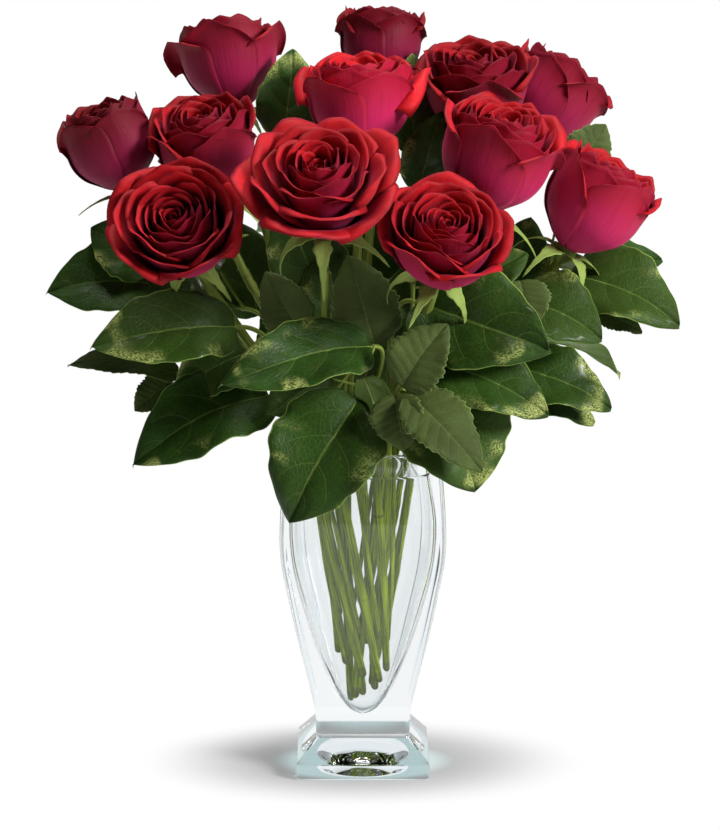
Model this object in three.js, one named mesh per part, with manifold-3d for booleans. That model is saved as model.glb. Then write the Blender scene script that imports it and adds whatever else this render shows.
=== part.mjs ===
// A dozen long-stemmed red roses with broad-leaved lemon-leaf greenery, standing in water in a
// heavy clear glass vase with a square foot.
//
// Millimetres, +Z up. The origin is the centre of the foot's underside and the front faces -Y.
// Every rose is two solids: the bloom (its petals fused at the base) and the green stem with its
// calyx, sepals and toothed leaves. Every sprig of lemon leaf is one solid of stem and leaves.
// The stems stand in plain holes in the water, and solids that meet keep a small running gap.

import * as THREE from "three";
import { mergeVertices } from "three/addons/utils/BufferGeometryUtils.js";
import Module from "manifold-3d";

const wasm = await Module();
wasm.setup();

// ---- driving dimensions ------------------------------------------------------------------------

const GAP = 0.35; // clearance kept between solids that meet
const MERGE = 0.002; // vertices nearer than this are one

const FOOT = { half: 44.5, slab: 11.5, top: 26, dimpleRadius: 32, dimpleDepth: 5 };
const VASE_OUTSIDE = [
  // height, half width of the square section
  [26, 31.2], [44, 32], [60, 35.1], [97, 43.4], [127, 49.4], [154, 54], [180, 54.3], [222, 51.2],
];
const VASE_INSIDE = [
  [39, 3.5], [42, 8.6], [49.5, 14.4], [61, 20.6], [90, 32], [125, 42], [152, 47.4], [176, 48.4],
  [206, 43.8], [222, 42.8],
];
const VASE_CORNER = 3.5; // outside corner radius
const WATER_LEVEL = 206;

const NECK = 212; // height where the straight lower stems end and the upper stems begin
const STEM_FOOT = 56; // height that the lower stems are aimed at
const STEM_SQUEEZE = 0.5; // how far the bunch closes between the neck and the stem foot
const OUTER_RING = { radius: 37, twist: 72 };
const INNER_RING = { radius: 20, twist: -72 };
const ROSE_STEM = 3; // radius
const LEAF_STEM = 1.6; // radius of a lemon-leaf stem
const STEM_SIDES = { rose: 5, leaf: 4 };
const PETIOLE = 0.9;

const HEAD = { height: 64, calyx: 7.5 }; // a rose head at size 1, and its calyx's radius
const PETAL_THICKNESS = 0.9;
const LEAF_THICKNESS = 0.7;

// Each rose: where its head's middle is, which way it faces, its size, how far it has opened, the
// turn about its own axis, its ring and bearing in the bunch, and where its stem is cut.
const ROSES = [
  { name: "rose_01", at: [-166, 14, 419], face: [-0.34, -0.1, 0.93], size: 0.93, open: 0.0, turn: 20,
    ring: OUTER_RING, bearing: 174, cut: 78 },
  { name: "rose_02", at: [-117, -60, 372], face: [-0.14, -0.82, 0.55], size: 1.0, open: 0.5, turn: 70,
    ring: OUTER_RING, bearing: 206, cut: 70 },
  { name: "rose_03", at: [-103, 4, 418], face: [-0.15, -0.38, 0.91], size: 0.98, open: 0.15, turn: 10,
    ring: INNER_RING, bearing: 166, cut: 52 },
  { name: "rose_04", at: [-90, 72, 469], face: [-0.16, 0.2, 0.96], size: 0.97, open: 0.4, turn: 50,
    ring: OUTER_RING, bearing: 138, cut: 84 },
  { name: "rose_05", at: [-27, -86, 402], face: [-0.04, -0.58, 0.81], size: 1.03, open: 1.0, turn: 35,
    ring: OUTER_RING, bearing: 242, cut: 66 },
  { name: "rose_06", at: [-2, 6, 448], face: [0, -0.1, 1], size: 1.02, open: 0.4, turn: 5,
    ring: INNER_RING, bearing: 238, cut: 49 },
  { name: "rose_07", at: [12, 86, 480], face: [0.03, 0.05, 1], size: 0.84, open: 0.05, turn: 80,
    ring: INNER_RING, bearing: 94, cut: 57 },
  { name: "rose_08", at: [51, -88, 368], face: [0.1, -0.68, 0.73], size: 0.96, open: 0.5, turn: 15,
    ring: OUTER_RING, bearing: 283, cut: 72 },
  { name: "rose_09", at: [75, 40, 452], face: [-0.04, -0.33, 0.94], size: 1.0, open: 0.4, turn: 60,
    ring: INNER_RING, bearing: 22, cut: 62 },
  { name: "rose_10", at: [127, 86, 443], face: [0.55, 0.12, 0.83], size: 0.98, open: 0.2, turn: 25,
    ring: OUTER_RING, bearing: 34, cut: 88 },
  { name: "rose_11", at: [86, -34, 416], face: [0.3, -0.26, 0.92], size: 1.11, open: 0.2, turn: 40,
    ring: INNER_RING, bearing: 310, cut: 54 },
  { name: "rose_12", at: [152, -6, 383], face: [0.5, -0.1, 0.86], size: 1.05, open: 0.15, turn: 75,
    ring: OUTER_RING, bearing: 357, cut: 76 },
];

// Toothed rose leaves, each on a stalk from a rose's own stem: where the leaf starts and ends, its
// width, the way its upper face looks, how much its rib bows, and where along the stem the stalk
// leaves (0 at the neck of the vase, 1 at the bloom).
const ROSE_LEAVES = [
  { rose: "rose_01", from: [-122, 8, 266], to: [-196, 2, 276], width: 32,
    up: [0.1, -0.5, 0.85], bow: 0.08, stalk: 0.3 },
  { rose: "rose_01", from: [-128, 4, 262], to: [-152, -4, 244], width: 27,
    up: [-0.2, -0.8, 0.5], bow: 0.05, stalk: 0.3 },
  { rose: "rose_03", from: [-114, 50, 394], to: [-134, 54, 440], width: 34,
    up: [-0.2, -0.95, 0.1], bow: 0.06, stalk: 0.72 },
  { rose: "rose_05", from: [8, -34, 292], to: [-10, -42, 352], width: 49,
    up: [0.1, -0.95, 0.25], bow: 0.06, stalk: 0.3 },
  { rose: "rose_05", from: [-40, -26, 300], to: [-64, -34, 340], width: 37,
    up: [-0.1, -0.95, 0.2], bow: 0.06, stalk: 0.45 },
  { rose: "rose_08", from: [24, -82, 274], to: [52, -86, 316], width: 41,
    up: [-0.15, -0.93, 0.3], bow: 0.05, stalk: 0.32 },
  { rose: "rose_08", from: [20, -84, 270], to: [26, -96, 236], width: 37,
    up: [-0.25, -0.9, 0.3], bow: 0.08, stalk: 0.32 },
  { rose: "rose_08", from: [27, -86, 270], to: [76, -108, 226], width: 44,
    up: [0.25, -0.8, 0.5], bow: 0.08, stalk: 0.32 },
  { rose: "rose_10", from: [118, 72, 330], to: [170, 96, 312], width: 41,
    up: [0.2, 0.4, 0.9], bow: 0.1, stalk: 0.55 },
  { rose: "rose_11", from: [102, -32, 336], to: [108, -44, 304], width: 36,
    up: [0.1, -0.9, 0.3], bow: 0.05, stalk: 0.6 },
  { rose: "rose_12", from: [152, 2, 310], to: [186, 0, 297], width: 24,
    up: [0.2, -0.7, 0.7], bow: 0.05, stalk: 0.7 },
  { rose: "rose_12", from: [136, 28, 396], to: [163, 34, 430], width: 37,
    up: [0.1, -0.97, 0.1], bow: 0.05, stalk: 0.9 },
  { rose: "rose_07", from: [2, 92, 400], to: [-38, 118, 388], width: 39,
    up: [-0.1, 0.7, 0.7], bow: 0.1, stalk: 0.75 },
];

// Lemon-leaf sprigs: bearing in the bunch, where the stem is cut, and its broad leaves.
const SPRIGS = [
  { name: "sprig_left", bearing: 189, cut: 112, leaves: [
    { from: [-132, 2, 327], to: [-206, -24, 328], width: 58, up: [0.05, -0.76, 0.65], bow: 0.1 },
    { from: [-100, 14, 314], to: [-152, -8, 326], width: 46, up: [0.05, -0.8, 0.6], bow: 0.1 },
    { from: [-136, -12, 342], to: [-178, -10, 368], width: 44, up: [-0.3, -0.8, 0.5], bow: 0.08 },
  ] },
  { name: "sprig_front_left", bearing: 222, cut: 100, leaves: [
    { from: [-82, -28, 304], to: [-174, -62, 298], width: 58, up: [0, -0.76, 0.65], bow: 0.09 },
    { from: [-60, -24, 258], to: [-151, -56, 222], width: 62, up: [-0.1, -0.75, 0.65], bow: 0.12 },
    { from: [-76, -20, 286], to: [-124, -26, 262], width: 44, up: [0, -0.8, 0.6], bow: 0.08 },
  ] },
  { name: "sprig_front", bearing: 262, cut: 96, leaves: [
    { from: [6, -52, 295], to: [-88, -112, 284], width: 50, up: [0.05, -0.78, 0.62], bow: 0.1 },
    { from: [-2, -62, 264], to: [-48, -90, 188], width: 74, up: [-0.15, -0.92, 0.35], bow: 0.08 },
    { from: [-20, -44, 274], to: [-62, -62, 254], width: 40, up: [-0.05, -0.8, 0.6], bow: 0.08 },
    { from: [0, -68, 279], to: [12, -88, 228], width: 30, up: [0.55, 0.8, -0.1], bow: 0.1 },
  ] },
  { name: "sprig_front_right", bearing: 304, cut: 92, leaves: [
    { from: [34, -36, 322], to: [116, -90, 300], width: 74, up: [0, -0.93, 0.36], bow: 0.06 },
    { from: [60, -30, 322], to: [106, -34, 354], width: 40, up: [-0.1, -0.88, 0.45], bow: 0.08 },
    { from: [46, -58, 285], to: [119, -84, 260], width: 52, up: [0.05, -0.82, 0.57], bow: 0.1 },
    { from: [46, -56, 266], to: [72, -86, 208], width: 78, up: [0.2, -0.92, 0.33], bow: 0.08 },
  ] },
  { name: "sprig_right", bearing: 340, cut: 108, leaves: [
    { from: [100, -14, 321], to: [156, -38, 300], width: 54, up: [0.1, -0.82, 0.57], bow: 0.1 },
    { from: [96, -12, 276], to: [164, -26, 251], width: 46, up: [0.05, -0.75, 0.65], bow: 0.08 },
    { from: [88, -4, 262], to: [155, -8, 238], width: 40, up: [0.05, -0.65, 0.75], bow: 0.08 },
  ] },
  { name: "sprig_far_right", bearing: 14, cut: 116, leaves: [
    { from: [136, 18, 332], to: [209, -14, 306], width: 60, up: [0.15, -0.76, 0.64], bow: 0.1 },
    { from: [146, 44, 324], to: [200, 34, 342], width: 42, up: [0.1, -0.7, 0.7], bow: 0.1 },
    { from: [106, 30, 284], to: [176, 50, 262], width: 50, up: [0.3, 0.2, 0.93], bow: 0.1 },
    { from: [98, 22, 316], to: [110, 18, 370], width: 46, up: [0, -0.97, 0.2], bow: 0.06 },
  ] },
  { name: "sprig_top_right", bearing: 50, cut: 98, leaves: [
    { from: [34, 52, 408], to: [34, 62, 476], width: 34, up: [0, -0.97, 0.2], bow: 0.05 },
    { from: [36, 26, 386], to: [52, 12, 440], width: 34, up: [-0.1, -0.97, 0.2], bow: 0.05 },
    { from: [50, 74, 330], to: [104, 126, 334], width: 52, up: [0.2, 0.45, 0.87], bow: 0.1 },
    { from: [48, 36, 318], to: [66, 24, 382], width: 52, up: [-0.1, -0.96, 0.2], bow: 0.06 },
    { from: [33, 58, 276], to: [37, 60, 338], width: 46, up: [0, -0.97, 0.2], bow: 0.06 },
    { from: [38, 42, 246], to: [57, 50, 306], width: 50, up: [-0.1, -0.97, 0.2], bow: 0.06 },
  ] },
  { name: "sprig_back_right", bearing: 74, cut: 106, leaves: [
    { from: [6, 78, 314], to: [10, 138, 300], width: 56, up: [0, 0.5, 0.87], bow: 0.12 },
    { from: [46, 72, 288], to: [96, 136, 268], width: 54, up: [0.25, 0.55, 0.8], bow: 0.12 },
    { from: [30, 60, 262], to: [52, 112, 206], width: 58, up: [0.1, 0.85, 0.5], bow: 0.1 },
    { from: [-6, 62, 270], to: [-26, 128, 236], width: 56, up: [-0.05, 0.7, 0.7], bow: 0.12 },
    { from: [6, 74, 318], to: [4, 76, 386], width: 54, up: [0, -0.97, 0.2], bow: 0.06 },
    { from: [4, 18, 244], to: [-2, 2, 310], width: 58, up: [0, -0.97, 0.2], bow: 0.06 },
  ] },
  { name: "sprig_top_left", bearing: 112, cut: 110, leaves: [
    { from: [-53, 36, 420], to: [-46, 44, 480], width: 42, up: [-0.05, -0.97, 0.2], bow: 0.05 },
    { from: [-34, 78, 344], to: [-66, 134, 346], width: 52, up: [-0.2, 0.45, 0.87], bow: 0.1 },
    { from: [-30, 44, 312], to: [-52, 22, 380], width: 54, up: [0.1, -0.96, 0.2], bow: 0.06 },
    { from: [-12, 40, 288], to: [-26, 32, 350], width: 50, up: [0, -0.97, 0.2], bow: 0.06 },
    { from: [-34, 42, 250], to: [-58, 50, 318], width: 56, up: [0.1, -0.97, 0.2], bow: 0.06 },
  ] },
  { name: "sprig_back_left", bearing: 156, cut: 102, leaves: [
    { from: [-82, 48, 304], to: [-152, 92, 290], width: 58, up: [-0.2, 0.4, 0.9], bow: 0.12 },
    { from: [-60, 48, 262], to: [-112, 92, 218], width: 58, up: [-0.4, 0.6, 0.7], bow: 0.1 },
    { from: [-94, 48, 330], to: [-166, 74, 334], width: 50, up: [-0.2, -0.2, 0.95], bow: 0.1 },
    { from: [-71, 60, 296], to: [-89, 62, 364], width: 54, up: [0.1, -0.97, 0.2], bow: 0.05 },
  ] },
];

const COLOURS = {
  petals: 0xb3142a, stem: 0x6f8f3a, leaf: 0x2d5a2a, glass: 0xdfe9ec, water: 0xe6eef0,
};

// ---- solids ------------------------------------------------------------------------------------

const rad = THREE.MathUtils.degToRad;
const vec = (p) => new THREE.Vector3(...p);

// A surface from a list of points and of triangles.
function surface(points, triangles) {
  return new THREE.BufferGeometry().setFromPoints(points).setIndex(triangles.flat());
}

// A closed surface as a solid that can be joined and cut. Its faces are turned to point out.
function solidOf(geometry) {
  const bare = geometry.clone();
  bare.deleteAttribute("normal");
  bare.deleteAttribute("uv");
  const merged = mergeVertices(bare, MERGE);
  const vertProperties = new Float32Array(merged.attributes.position.array);
  const triVerts = new Uint32Array(merged.index.array);
  const made = new wasm.Manifold(new wasm.Mesh({ numProp: 3, vertProperties, triVerts }));
  if (made.volume() > 0) return made;
  return new wasm.Manifold(new wasm.Mesh({ numProp: 3, vertProperties, triVerts: triVerts.reverse() }));
}

// The surface of a solid, back as a geometry.
function geometryOf(solid) {
  const { numProp, vertProperties, triVerts } = solid.getMesh();
  const positions = new Float32Array((vertProperties.length / numProp) * 3);
  for (let i = 0; i * numProp < vertProperties.length; i++)
    positions.set(vertProperties.subarray(i * numProp, i * numProp + 3), i * 3);
  return new THREE.BufferGeometry()
    .setAttribute("position", new THREE.BufferAttribute(positions, 3))
    .setIndex(new THREE.BufferAttribute(triVerts, 1));
}

// Skins a row of rings, each a closed loop of the same number of points, and caps both ends.
function loft(rings) {
  const points = rings.flat();
  const n = rings[0].length;
  const triangles = [];
  for (let j = 0; j + 1 < rings.length; j++)
    for (let i = 0; i < n; i++) {
      const a = j * n + i;
      const b = j * n + ((i + 1) % n);
      triangles.push([a, b, b + n], [a, b + n, a + n]);
    }
  const last = (rings.length - 1) * n;
  for (let i = 1; i + 1 < n; i++) triangles.push([0, i + 1, i], [last, last + i, last + i + 1]);
  return surface(points, triangles);
}

// A thin blade over a grid of middle points, with a thickness for each row, and with both faces
// split into triangles alike.
function blade(grid, thicknesses) {
  const rows = grid.length;
  const columns = grid[0].length;
  const edge = (j, i, dj, di) => {
    const a = grid[Math.min(rows - 1, j + dj)][Math.min(columns - 1, i + di)];
    const b = grid[Math.max(0, j - dj)][Math.max(0, i - di)];
    return a.clone().sub(b);
  };
  const faces = [[], []];
  grid.forEach((row, j) =>
    row.forEach((p, i) => {
      const normal = edge(j, i, 1, 0).cross(edge(j, i, 0, 1)).normalize();
      faces[0].push(p.clone().addScaledVector(normal, thicknesses[j] / 2));
      faces[1].push(p.clone().addScaledVector(normal, -thicknesses[j] / 2));
    }),
  );
  const back = rows * columns;
  const at = (j, i) => j * columns + i;
  const triangles = [];
  for (let j = 0; j + 1 < rows; j++)
    for (let i = 0; i + 1 < columns; i++) {
      const [a, b, c, d] = [at(j, i), at(j, i + 1), at(j + 1, i + 1), at(j + 1, i)];
      triangles.push([a, b, c], [a, c, d]);
      triangles.push([back + a, back + c, back + b], [back + a, back + d, back + c]);
    }
  const rim = [];
  for (let i = 0; i < columns; i++) rim.push(at(0, i));
  for (let j = 1; j < rows; j++) rim.push(at(j, columns - 1));
  for (let i = columns - 2; i >= 0; i--) rim.push(at(rows - 1, i));
  for (let j = rows - 2; j > 0; j--) rim.push(at(j, 0));
  rim.forEach((a, k) => {
    const b = rim[(k + 1) % rim.length];
    triangles.push([a, back + a, back + b], [a, back + b, b]);
  });
  return surface(faces.flat(), triangles);
}

// A tube of a few sides along a curve.
function tube(path, radius, steps, sides) {
  const section = new THREE.Shape(
    Array.from({ length: sides }, (_, i) => {
      const angle = (2 * Math.PI * i) / sides;
      return new THREE.Vector2(radius * Math.cos(angle), radius * Math.sin(angle));
    }),
  );
  return new THREE.ExtrudeGeometry(section, { steps, extrudePath: path });
}

const join = (geometries) => wasm.Manifold.union(geometries.map(solidOf));

// The largest body of a solid, with vertices that all but coincide made one: a scrap that a cut
// leaves loose is dropped.
function mainBody(solid) {
  return solidOf(geometryOf(solid)).decompose().sort((a, b) => b.volume() - a.volume())[0];
}

const boxesMeet = (a, b) => [0, 1, 2].every((k) => a.min[k] <= b.max[k] && b.min[k] <= a.max[k]);

// A number from 0 to 1 that depends only on its two seeds.
function draw(seed, index) {
  const x = Math.sin(seed * 12.9898 + index * 78.233) * 43758.5453;
  return x - Math.floor(x);
}

// ---- vase and water ----------------------------------------------------------------------------

// A square with round corners, as a ring of points at one height.
function squareRing(half, corner, height, arcSteps) {
  const ring = [];
  for (let quarter = 0; quarter < 4; quarter++)
    for (let k = 0; k <= arcSteps; k++) {
      const angle = rad(90 * quarter + (90 * k) / arcSteps);
      const middle = rad(90 * quarter + 45);
      const inset = (half - corner) * Math.SQRT2;
      ring.push(
        new THREE.Vector3(
          inset * Math.cos(middle) + corner * Math.cos(angle),
          inset * Math.sin(middle) + corner * Math.sin(angle),
          height,
        ),
      );
    }
  return ring;
}

// The hollow is round at its bottom and a soft square at its mouth.
function hollowRing(half, height) {
  const [low, high] = [VASE_INSIDE[0][0], VASE_INSIDE.at(-1)[0]];
  const roundness = 1 - 0.5 * Math.min(1, (height - low) / (high - low) / 0.6);
  return squareRing(half, half * Math.min(0.999, roundness), height, 3);
}

function vaseSolid() {
  const { half, slab, top, dimpleRadius, dimpleDepth } = FOOT;
  const outside = [
    squareRing(half, VASE_CORNER * 0.6, 0, 2),
    squareRing(half, VASE_CORNER * 0.6, slab, 2),
    ...VASE_OUTSIDE.map(([z, w]) => squareRing(w, z === top ? VASE_CORNER * 0.6 : VASE_CORNER, z, 2)),
  ];
  const mouth = VASE_INSIDE.at(-1);
  const hollow = [...VASE_INSIDE.map(([z, w]) => hollowRing(w, z)), hollowRing(mouth[1], mouth[0] + 5)];
  const dimple = [
    [dimpleRadius * 1.05, -dimpleDepth * 0.2], [dimpleRadius * 0.68, dimpleDepth * 0.62],
    [dimpleRadius * 0.25, dimpleDepth],
  ].map(([r, z]) => squareRing(r, r * 0.999, z, 3));
  return solidOf(loft(outside)).subtract(join([loft(hollow), loft(dimple)]));
}

function waterSolid(stemHoles) {
  const below = VASE_INSIDE.filter(([z]) => z < WATER_LEVEL);
  const rings = below.map(([z, w], k) => hollowRing(w - GAP * 1.3, k ? z : z + GAP));
  rings.push(hollowRing(VASE_INSIDE.find(([z]) => z >= WATER_LEVEL)[1] - GAP * 1.3, WATER_LEVEL));
  return mainBody(solidOf(loft(rings)).subtract(join(stemHoles)));
}

// ---- stems -------------------------------------------------------------------------------------

// A point on a stem below the neck. The whole bunch turns and closes as one, so no two stems meet.
function bunchPoint(ring, bearing, height) {
  const share = (NECK - height) / (NECK - STEM_FOOT);
  const top = new THREE.Vector2(ring.radius * Math.cos(rad(bearing)), ring.radius * Math.sin(rad(bearing)));
  const bottom = top.clone().rotateAround(new THREE.Vector2(), rad(ring.twist)).multiplyScalar(STEM_SQUEEZE);
  const at = top.lerp(bottom, share);
  return new THREE.Vector3(at.x, at.y, height);
}

// The upper stem leaves the neck in line with the lower one and swings round to its end's direction.
function upperStem(ring, bearing, end, arrive, startPull, endPull) {
  const start = bunchPoint(ring, bearing, NECK);
  const along = start.clone().sub(bunchPoint(ring, bearing, NECK - 10)).normalize();
  const reach = start.distanceTo(end);
  return new THREE.CubicBezierCurve3(
    start,
    start.clone().addScaledVector(along, reach * startPull),
    end.clone().addScaledVector(arrive, -reach * endPull),
    end,
  );
}

const STEM_STEPS = 5;

// A stem's whole path: one straight step from the cut end to the neck, then the upper stem.
class StemPath extends THREE.Curve {
  constructor(foot, upper) {
    super();
    this.foot = foot;
    this.upper = upper;
  }

  getPoint(t) {
    const bend = 1 / STEM_STEPS;
    if (t >= bend) return this.upper.getPoint((t - bend) / (1 - bend));
    return this.foot.clone().lerp(this.upper.getPoint(0), t / bend);
  }

  getUtoTmapping(u) {
    return u;
  }
}

const stemTube = (ring, bearing, cut, upper, radius, sides) =>
  tube(new StemPath(bunchPoint(ring, bearing, cut), upper), radius, STEM_STEPS, sides);

// ---- leaves ------------------------------------------------------------------------------------

const TIP_DROOP = 0.06; // how far a leaf's tip hangs, as a share of its length
const LEMON_LEAF = { rows: [0.04, 0.22, 0.5, 0.8, 1], fold: 0.22, wave: 0.035, teeth: 0 };
const ROSE_LEAF = { rows: [0.04, 0.2, 0.37, 0.54, 0.7, 0.85, 1], fold: 0.2, wave: 0.02, teeth: 0.14 };

// Half width along a leaf, as a share of its widest: round at the base and short at the tip.
const leafShare = (v) => 2.38 * Math.pow(v, 0.5) * Math.pow(1 - v, 0.8);

// The leaf's middle surface: u runs across from -1 to 1 and v from the stalk to the tip.
function leafPoint(leaf, form, u, v, row, grow) {
  const [start, end] = [vec(leaf.from), vec(leaf.to)];
  const chord = end.clone().sub(start);
  const length = chord.length();
  const across = chord.clone().cross(vec(leaf.up)).normalize();
  const up = across.clone().cross(chord).normalize();
  const rise = leaf.bow * length * 4 * v * (1 - v) - TIP_DROOP * length * v * v * v;
  const saw = form.teeth && row % 2 ? 1 - form.teeth : 1;
  const half = Math.max(0.5, (leaf.width / 2) * leafShare(v) * saw) + 1.5 * grow;
  const lift = Math.abs(u) * half * form.fold + form.wave * length * Math.abs(u) * Math.sin(v * 9 + u * 2);
  return start
    .clone()
    .addScaledVector(chord, v + (v === 1 ? (2 * grow) / length : 0))
    .addScaledVector(up, rise + lift)
    .addScaledVector(across, u * half);
}

// A leaf with its stalk: one blade that starts inside the stem as a narrow, thicker strip.
function leafBlade(leaf, form, from, grow) {
  const across = vec(leaf.to).sub(vec(leaf.from)).cross(vec(leaf.up)).normalize();
  const base = leafPoint(leaf, form, 0, 0, 0, grow);
  const sag = vec(leaf.up).normalize().multiplyScalar(-0.06 * base.distanceTo(from));
  const grid = [0, 0.55].map((share) => {
    const at = from.clone().lerp(base, share).addScaledVector(sag, share * 2);
    return [-1, 0, 1].map((u) => at.clone().addScaledVector(across, u * (PETIOLE + grow)));
  });
  form.rows.forEach((v, row) => grid.push([-1, 0, 1].map((u) => leafPoint(leaf, form, u, v, row, grow))));
  return blade(grid, grid.map((_, j) => (j < 2 ? 2 * PETIOLE : LEAF_THICKNESS) + 2 * grow));
}

// ---- rose heads --------------------------------------------------------------------------------

// Petals stand in two whorls of five round a heart. Each whorl's roots sit side by side on one
// ring; above it every petal's right edge covers its neighbour's left edge. Radii and heights are
// those of a shut head, and "opened" is added to them as the head opens.
const WHORLS = [
  {
    columns: [-1, -1 / 3, 1 / 3, 1], reach: 54, offset: 0, overlap: 1.6, roll: 9, rolled: [0.75, 1.35],
    rows: [[18, 8], [30.5, 25], [29, 47]], opened: [[0, 0], [2, -1], [13, -6]],
  },
  {
    columns: [-1, 0, 1], reach: 37, offset: 36, overlap: 1.6, roll: 7, rolled: [0.35, 1],
    rows: [[18, 22], [22.5, 55]], opened: [[0, 0], [5, -3]],
  },
];
const HEART = [
  // radius, height, and where the spiral of the innermost petals starts in this ring
  [15.5, 55, 0], [10.5, 50, 0.4], [8.2, 59, 0.85], [3.6, 53, 0.3], [1.8, 57, 0.7],
];
const HEART_SIDES = 8;
const PETAL_RING = 36; // half the bearing that a petal has to itself at its root

// Radius and height on a whorl's middle surface, and the direction that it climbs in.
function whorlProfile(whorl, open, row) {
  const pair = (row) => new THREE.Vector2(...row);
  const at = (k) => pair(whorl.rows[k]).addScaledVector(pair(whorl.opened[k]), open);
  const last = whorl.rows.length - 1;
  const point = at(Math.min(row, last));
  const way = at(Math.min(row + 1, last)).sub(at(Math.max(0, Math.min(row, last) - 1))).normalize();
  return { point, way };
}

// A petal's middle point and outward normal. Every petal of a whorl lies on the whorl's own surface,
// turned out of it a little towards its right edge, so that petals that overlap never cross.
function petalFrame(rose, whorl, step, u, row, grow) {
  const seed = Number(rose.name.slice(-2));
  const { point, way } = whorlProfile(whorl, rose.open, row);
  const normal = new THREE.Vector2(way.y, -way.x);
  const spread = row ? whorl.reach + 3 * grow : PETAL_RING;
  const azimuth = rad(rose.turn + whorl.offset + 72 * step + spread * u);
  const wave = 1.3 * Math.sin(2 * azimuth + seed) + Math.cos(3 * azimuth + 2 * seed);
  point.x += wave * row * (0.15 + 0.35 * rose.open);
  const outside = whorl.overlap * u;
  let turn = 0;
  if (row === whorl.rows.length) {
    const [least, most] = whorl.rolled;
    turn = least + (most - least) * (0.6 * draw(seed, 10 * step + whorl.offset) + 0.4 * rose.open);
    turn += (u > 0.9 ? 0.45 : -0.15 * Math.abs(u)) + grow / whorl.roll;
  }
  const axis = point.clone().addScaledVector(normal, whorl.roll);
  const arm = whorl.roll - outside;
  const [cos, sin] = [Math.cos(turn), Math.sin(turn)];
  const at = axis.addScaledVector(way, arm * sin).addScaledVector(normal, -arm * cos);
  const facing = normal.multiplyScalar(cos).addScaledVector(way, -sin);
  const place = (q) => new THREE.Vector3(q.x * Math.cos(azimuth), q.x * Math.sin(azimuth), q.y);
  return { at: place(at), facing: place(facing), azimuth };
}

// The whole head as one closed surface. Loops of points climb the heart; where a whorl stands, the
// loop splits into the petals' outer and inner faces, and the next loop goes on from the inner one.
function bloom(rose, grow) {
  const points = [];
  const triangles = [];
  const add = (p) => points.push(p) - 1;
  const face = (...corners) => {
    for (let k = 1; k + 1 < corners.length; k++) triangles.push([corners[0], corners[k], corners[k + 1]]);
  };
  const loop = (radius, height, spiral) =>
    Array.from({ length: HEART_SIDES }, (_, i) => {
      const angle = (i / HEART_SIDES) * 2 * Math.PI;
      const phase = spiral === undefined ? 0.5 : (i / HEART_SIDES + spiral) % 1;
      const out = radius + grow + 2.4 * (phase - 0.5);
      const azimuth = angle + rad(rose.turn);
      const x = out * Math.cos(azimuth);
      const y = out * Math.sin(azimuth);
      const at = new THREE.Vector3(x, y, height + 5 * (0.5 - phase));
      return { index: add(at), angle };
    });
  // Joins two loops whose points are sorted by angle, taking the nearer next point each time.
  const stitch = (low, high) => {
    let [i, j] = [0, 0];
    const angleOf = (ring, k) => ring[k % ring.length].angle + (k >= ring.length ? 2 * Math.PI : 0);
    while (i < low.length || j < high.length) {
      const stepLow = j >= high.length || (i < low.length && angleOf(low, i + 1) <= angleOf(high, j + 1));
      const [a, b] = [low[i % low.length].index, high[j % high.length].index];
      if (stepLow) face(a, low[++i % low.length].index, b);
      else face(a, high[++j % high.length].index, b);
    }
  };
  let ring = loop(6.5, -grow);
  face(...ring.map(({ index }) => index).reverse());
  WHORLS.forEach((whorl) => {
    const [outer, inner] = [[], []];
    for (let step = 0; step < 5; step++) {
      const rows = [...whorl.rows.keys(), whorl.rows.length].map((row) =>
        whorl.columns.map((u) => {
          const { at, facing } = petalFrame(rose, whorl, step, u, row, grow);
          const half = PETAL_THICKNESS / 2 + grow;
          const out = add(at.clone().addScaledVector(facing, half));
          return [out, add(at.clone().addScaledVector(facing, -half))];
        }),
      );
      const last = whorl.columns.length - 1;
      rows.slice(1).forEach((high, k) => {
        const low = rows[k];
        for (let c = 0; c < last; c++) {
          face(low[c][0], low[c + 1][0], high[c + 1][0], high[c][0]);
          face(low[c][1], high[c][1], high[c + 1][1], low[c + 1][1]);
        }
        face(low[last][0], low[last][1], high[last][1], high[last][0]);
        face(low[0][1], low[0][0], high[0][0], high[0][1]);
      });
      const lip = rows.at(-1);
      for (let c = 0; c < last; c++) face(lip[c][0], lip[c + 1][0], lip[c + 1][1], lip[c][1]);
      rows[0].forEach(([out, back], c) => {
        const angle = rad(72 * step + whorl.offset + PETAL_RING * whorl.columns[c]);
        outer.push({ index: out, angle });
        inner.push({ index: back, angle });
      });
    }
    for (let step = 0; step < 5; step++) {
      const end = (step + 1) * whorl.columns.length - 1;
      const next = (end + 1) % outer.length;
      face(outer[end].index, outer[next].index, inner[next].index, inner[end].index);
    }
    const turned = (list) => {
      const sorted = list.map(({ index, angle }) => ({
        index, angle: angle < -1e-9 ? angle + 2 * Math.PI : angle,
      }));
      const start = sorted.findIndex(({ angle }, k) => k && angle < sorted[k - 1].angle - 1);
      return start > 0 ? [...sorted.slice(start), ...sorted.slice(0, start)] : sorted;
    };
    stitch(ring, turned(outer));
    ring = turned(inner);
  });
  HEART.forEach(([radius, height, spiral]) => {
    const next = loop(radius + (spiral === undefined ? 0 : 2 * rose.open), height + grow, spiral);
    stitch(ring, next);
    ring = next;
  });
  face(...ring.map(({ index }) => index));
  return surface(points, triangles);
}

// Carries a solid from a head's own frame to where the rose holds it.
function headMatrix(rose) {
  const facing = vec(rose.face).normalize();
  const turn = new THREE.Quaternion().setFromUnitVectors(new THREE.Vector3(0, 0, 1), facing);
  const size = new THREE.Vector3(rose.size, rose.size, rose.size);
  const base = vec(rose.at).addScaledVector(facing, -0.5 * HEAD.height * rose.size);
  return new THREE.Matrix4().compose(base, turn, size);
}

const bloomSolid = (rose, grow) => mainBody(solidOf(bloom(rose, grow).applyMatrix4(headMatrix(rose))));

// ---- green parts of a rose ---------------------------------------------------------------------

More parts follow.
